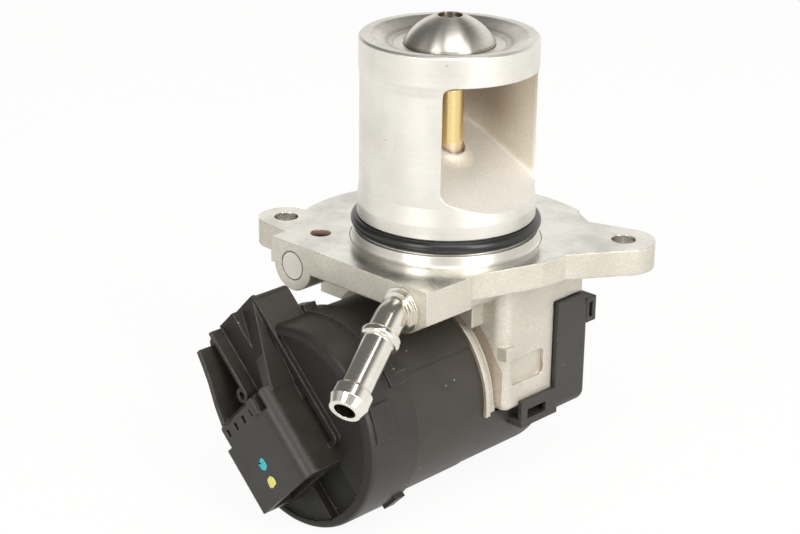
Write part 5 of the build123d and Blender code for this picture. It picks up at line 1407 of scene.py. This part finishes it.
@dataclass(frozen=True)
class Photographer:
    """Camera that stands where the photograph was taken.

    Args:
        azimuth: Degrees round from -Y towards +X.
        elevation: Degrees above the floor.
        roll: Degrees that the picture leans clockwise.
        distance: Millimetres from the point between the axes.
        lens: Focal length in millimetres.
        frame_width: Width of the film in millimetres.
        right: Shift of the camera to its right, in millimetres.
        up: Shift of the camera upwards, in millimetres.
    """

    azimuth: float = 43.853
    elevation: float = 21.403
    roll: float = 0.733
    distance: float = 564.72
    lens: float = 89.375
    frame_width: float = 36.0
    right: float = -12.927
    up: float = -9.378

    def stand(self) -> Piece:
        """Builds the camera.

        Returns:
            The camera.
        """
        r = math.radians(self.roll)
        back = direction(self.azimuth, self.elevation)
        side = (-back).cross(Vector((0, 0, 1))).normalized()
        top = side.cross(-back)
        right = side * math.cos(r) + top * math.sin(r)
        up = top * math.cos(r) - side * math.sin(r)
        lens = bpy.data.cameras.new("camera")
        lens.lens = self.lens
        lens.sensor_width = self.frame_width
        lens.clip_start = 0.01
        lens.clip_end = 20.0
        camera = bpy.data.objects.new("camera", lens)
        bpy.context.scene.collection.objects.link(camera)
        place = (back * self.distance + right * self.right + up * self.up) * MM
        camera.matrix_world = Matrix.Translation(place) @ Matrix((right, up, back)).transposed().to_4x4()
        bpy.context.scene.camera = camera
        return camera


@dataclass(frozen=True)
class Lamp:
    """Soft box aimed at the object.

    Args:
        name: Lamp's name.
        size: Width and height in metres.
        power: Power in watts.
        azimuth: Degrees round from -Y towards +X.
        elevation: Degrees above the floor.
        distance: Metres from the object.
    """

    name: str
    size: Spot
    power: float
    azimuth: float
    elevation: float
    distance: float = 1.5

    def hang(self) -> None:
        """Adds the lamp to the scene."""
        light = bpy.data.lights.new(self.name, "AREA")
        light.shape = "RECTANGLE"
        light.size, light.size_y = self.size
        light.energy = self.power
        lamp = bpy.data.objects.new(self.name, light)
        bpy.context.scene.collection.objects.link(lamp)
        spot = direction(self.azimuth, self.elevation) * self.distance
        lamp.matrix_world = Matrix.Translation(spot) @ (-spot).to_track_quat("-Z", "Y").to_matrix().to_4x4()


@dataclass(frozen=True)
class Studio:
    """Plain pale floor and soft light.

    Args:
        half: Half of the floor's side in metres.
        floor_gap: Metres from the lowest point down to the floor.
        floor_colour: Colour of the floor as the object sees it.
        floor_white: Colour of the floor to the camera.
        floor_glow: Share of the floor that has that plain colour to the camera.
        floor_mirrored: How much of that glow reflections see.
        daylight: Colour of the room's light.
        backdrop: Colour of the room to the camera.
        room_side: Direction from the object to the dimmer side of the room.
        room_turn: Turn towards that side where it starts and where it is full.
        dark_corner: Direction from the object to the dark upper corner of the room.
        corner_turn: Turn towards that corner where it starts and where it is full.
        ceiling: Height, as a share, where the dark ceiling starts and where it is full.
        gloss: Brightness in reflections of the light side, of the dim side and overhead.
        soft: Brightness for dull surfaces of the light side and of the rest.
        lamps: The soft boxes.
    """

    half: float = 6.0
    floor_gap: float = 0.0004
    floor_colour: Colour = (0.86, 0.86, 0.85)
    floor_white: Colour = (1.0, 1.0, 0.995)
    floor_glow: float = 0.93
    floor_mirrored: float = 0.75
    daylight: Colour = (1.0, 0.99, 0.97)
    backdrop: Colour = (1.0, 1.0, 1.0)
    room_side: Colour = (0.693, -0.721, 0.0)
    room_turn: Spot = (0.2, 0.8)
    dark_corner: Colour = (-0.82, -0.2, 0.54)
    corner_turn: Spot = (0.78, 0.95)
    ceiling: Spot = (0.38, 0.8)
    gloss: Colour = (1.05, 0.6, 0.17)
    soft: Spot = (0.6, 0.45)
    lamps: tuple[Lamp, ...] = (
        Lamp("left box", (0.55, 1.1), 10.0, azimuth=8.0, elevation=24.0),
        Lamp("right box", (0.6, 1.0), 13.0, azimuth=84.0, elevation=22.0),
        Lamp("top box", (1.0, 0.9), 10.0, azimuth=60.0, elevation=58.0),
    )

    def build(self, lowest: float) -> None:
        """Builds the floor, the world and the lamps.

        Args:
            lowest: Height of the object's lowest point in metres.
        """
        Bench.clear()
        bpy.ops.mesh.primitive_plane_add(size=2 * self.half, location=(0, 0, lowest - self.floor_gap))
        floor = bpy.context.object
        floor.name = "floor"
        floor.data.materials.append(self.paper())
        floor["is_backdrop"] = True
        self.world()
        for lamp in self.lamps:
            lamp.hang()

    @staticmethod
    def mixed(graph: Graph, factor: Socket, first: Node, second: Node, out: Node) -> None:
        """Mixes two shaders into the surface output.

        Args:
            graph: The graph.
            factor: Share of the second shader.
            first: First shader.
            second: Second shader.
            out: Output node.
        """
        mix = graph.node("ShaderNodeMixShader")
        for port, source in zip(mix.inputs, (factor, first.outputs[0], second.outputs[0])):
            graph.feed(port, source)
        graph.feed(out.inputs["Surface"], mix.outputs[0])

    def paper(self) -> Material:
        """Builds the floor's material: white to the camera, pale to the object.

        Returns:
            The material.
        """
        made = bpy.data.materials.new("paper")
        made.use_nodes = True
        graph = Graph(made.node_tree)
        out = graph.node("ShaderNodeOutputMaterial")
        body = graph.node("ShaderNodeBsdfDiffuse")
        body.inputs["Color"].default_value = (*self.floor_colour, 1.0)
        light = graph.node("ShaderNodeEmission")
        light.inputs["Color"].default_value = (*self.floor_white, 1.0)
        path = graph.node("ShaderNodeLightPath").outputs
        seen = graph.most(path["Is Camera Ray"], graph.times(path["Is Glossy Ray"], self.floor_mirrored))
        self.mixed(graph, graph.times(seen, self.floor_glow), body, light, out)
        return made

    def world(self) -> None:
        """Builds the world: white to the camera, and to the object pale at the sides and dark overhead."""
        world = bpy.data.worlds.new("studio")
        bpy.context.scene.world = world
        world.use_nodes = True
        graph = Graph(world.node_tree)
        out = graph.node("ShaderNodeOutputWorld")
        path = graph.node("ShaderNodeLightPath").outputs
        place = graph.node("ShaderNodeTexCoord").outputs["Generated"]
        room = graph.fade(graph.along(place, self.room_side), *self.room_turn)
        corner = graph.fade(graph.along(place, self.dark_corner), *self.corner_turn)
        overhead = graph.most(graph.fade(graph.split(place)[2], *self.ceiling), corner)
        light_side, dim_side, above = self.gloss
        glossy = graph.between(overhead, graph.between(room, light_side, dim_side), above)
        soft = graph.between(graph.most(room, overhead), *self.soft)
        lit = graph.node("ShaderNodeBackground")
        lit.inputs["Color"].default_value = (*self.daylight, 1.0)
        graph.feed(lit.inputs["Strength"], graph.between(path["Is Glossy Ray"], soft, glossy))
        white = graph.node("ShaderNodeBackground")
        white.inputs["Strength"].default_value = 1.0
        white.inputs["Color"].default_value = (*self.backdrop, 1.0)
        self.mixed(graph, path["Is Camera Ray"], lit, white, out)


def as_list(bounds: object) -> list:
    """Returns the corners of a box as plain lists."""
    return [[float(v) for v in corner] for corner in bounds]


def main() -> None:
    """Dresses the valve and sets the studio."""
    logging.basicConfig(level=logging.INFO, format="%(name)s: %(message)s")
    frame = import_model()
    packed = as_list(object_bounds())
    bpy.context.scene.view_settings.view_transform = "Standard"
    effects = Effects()
    palette = Palette()
    Wardrobe(palette).dress(frame["nodes"], effects)
    SealShoulder().build(palette.turned_aluminium, effects)
    GuideFillet().build(palette.duct_aluminium, effects)
    StemHead().build(palette.heat_tint_and_shade, effects)
    ReturnCoil().build(frame, palette.hard_steel, effects)
    PaintMarks().build(palette, effects)
    Photographer().stand()
    Studio().build(packed[0][2])


if __name__ == "__main__":
    main()
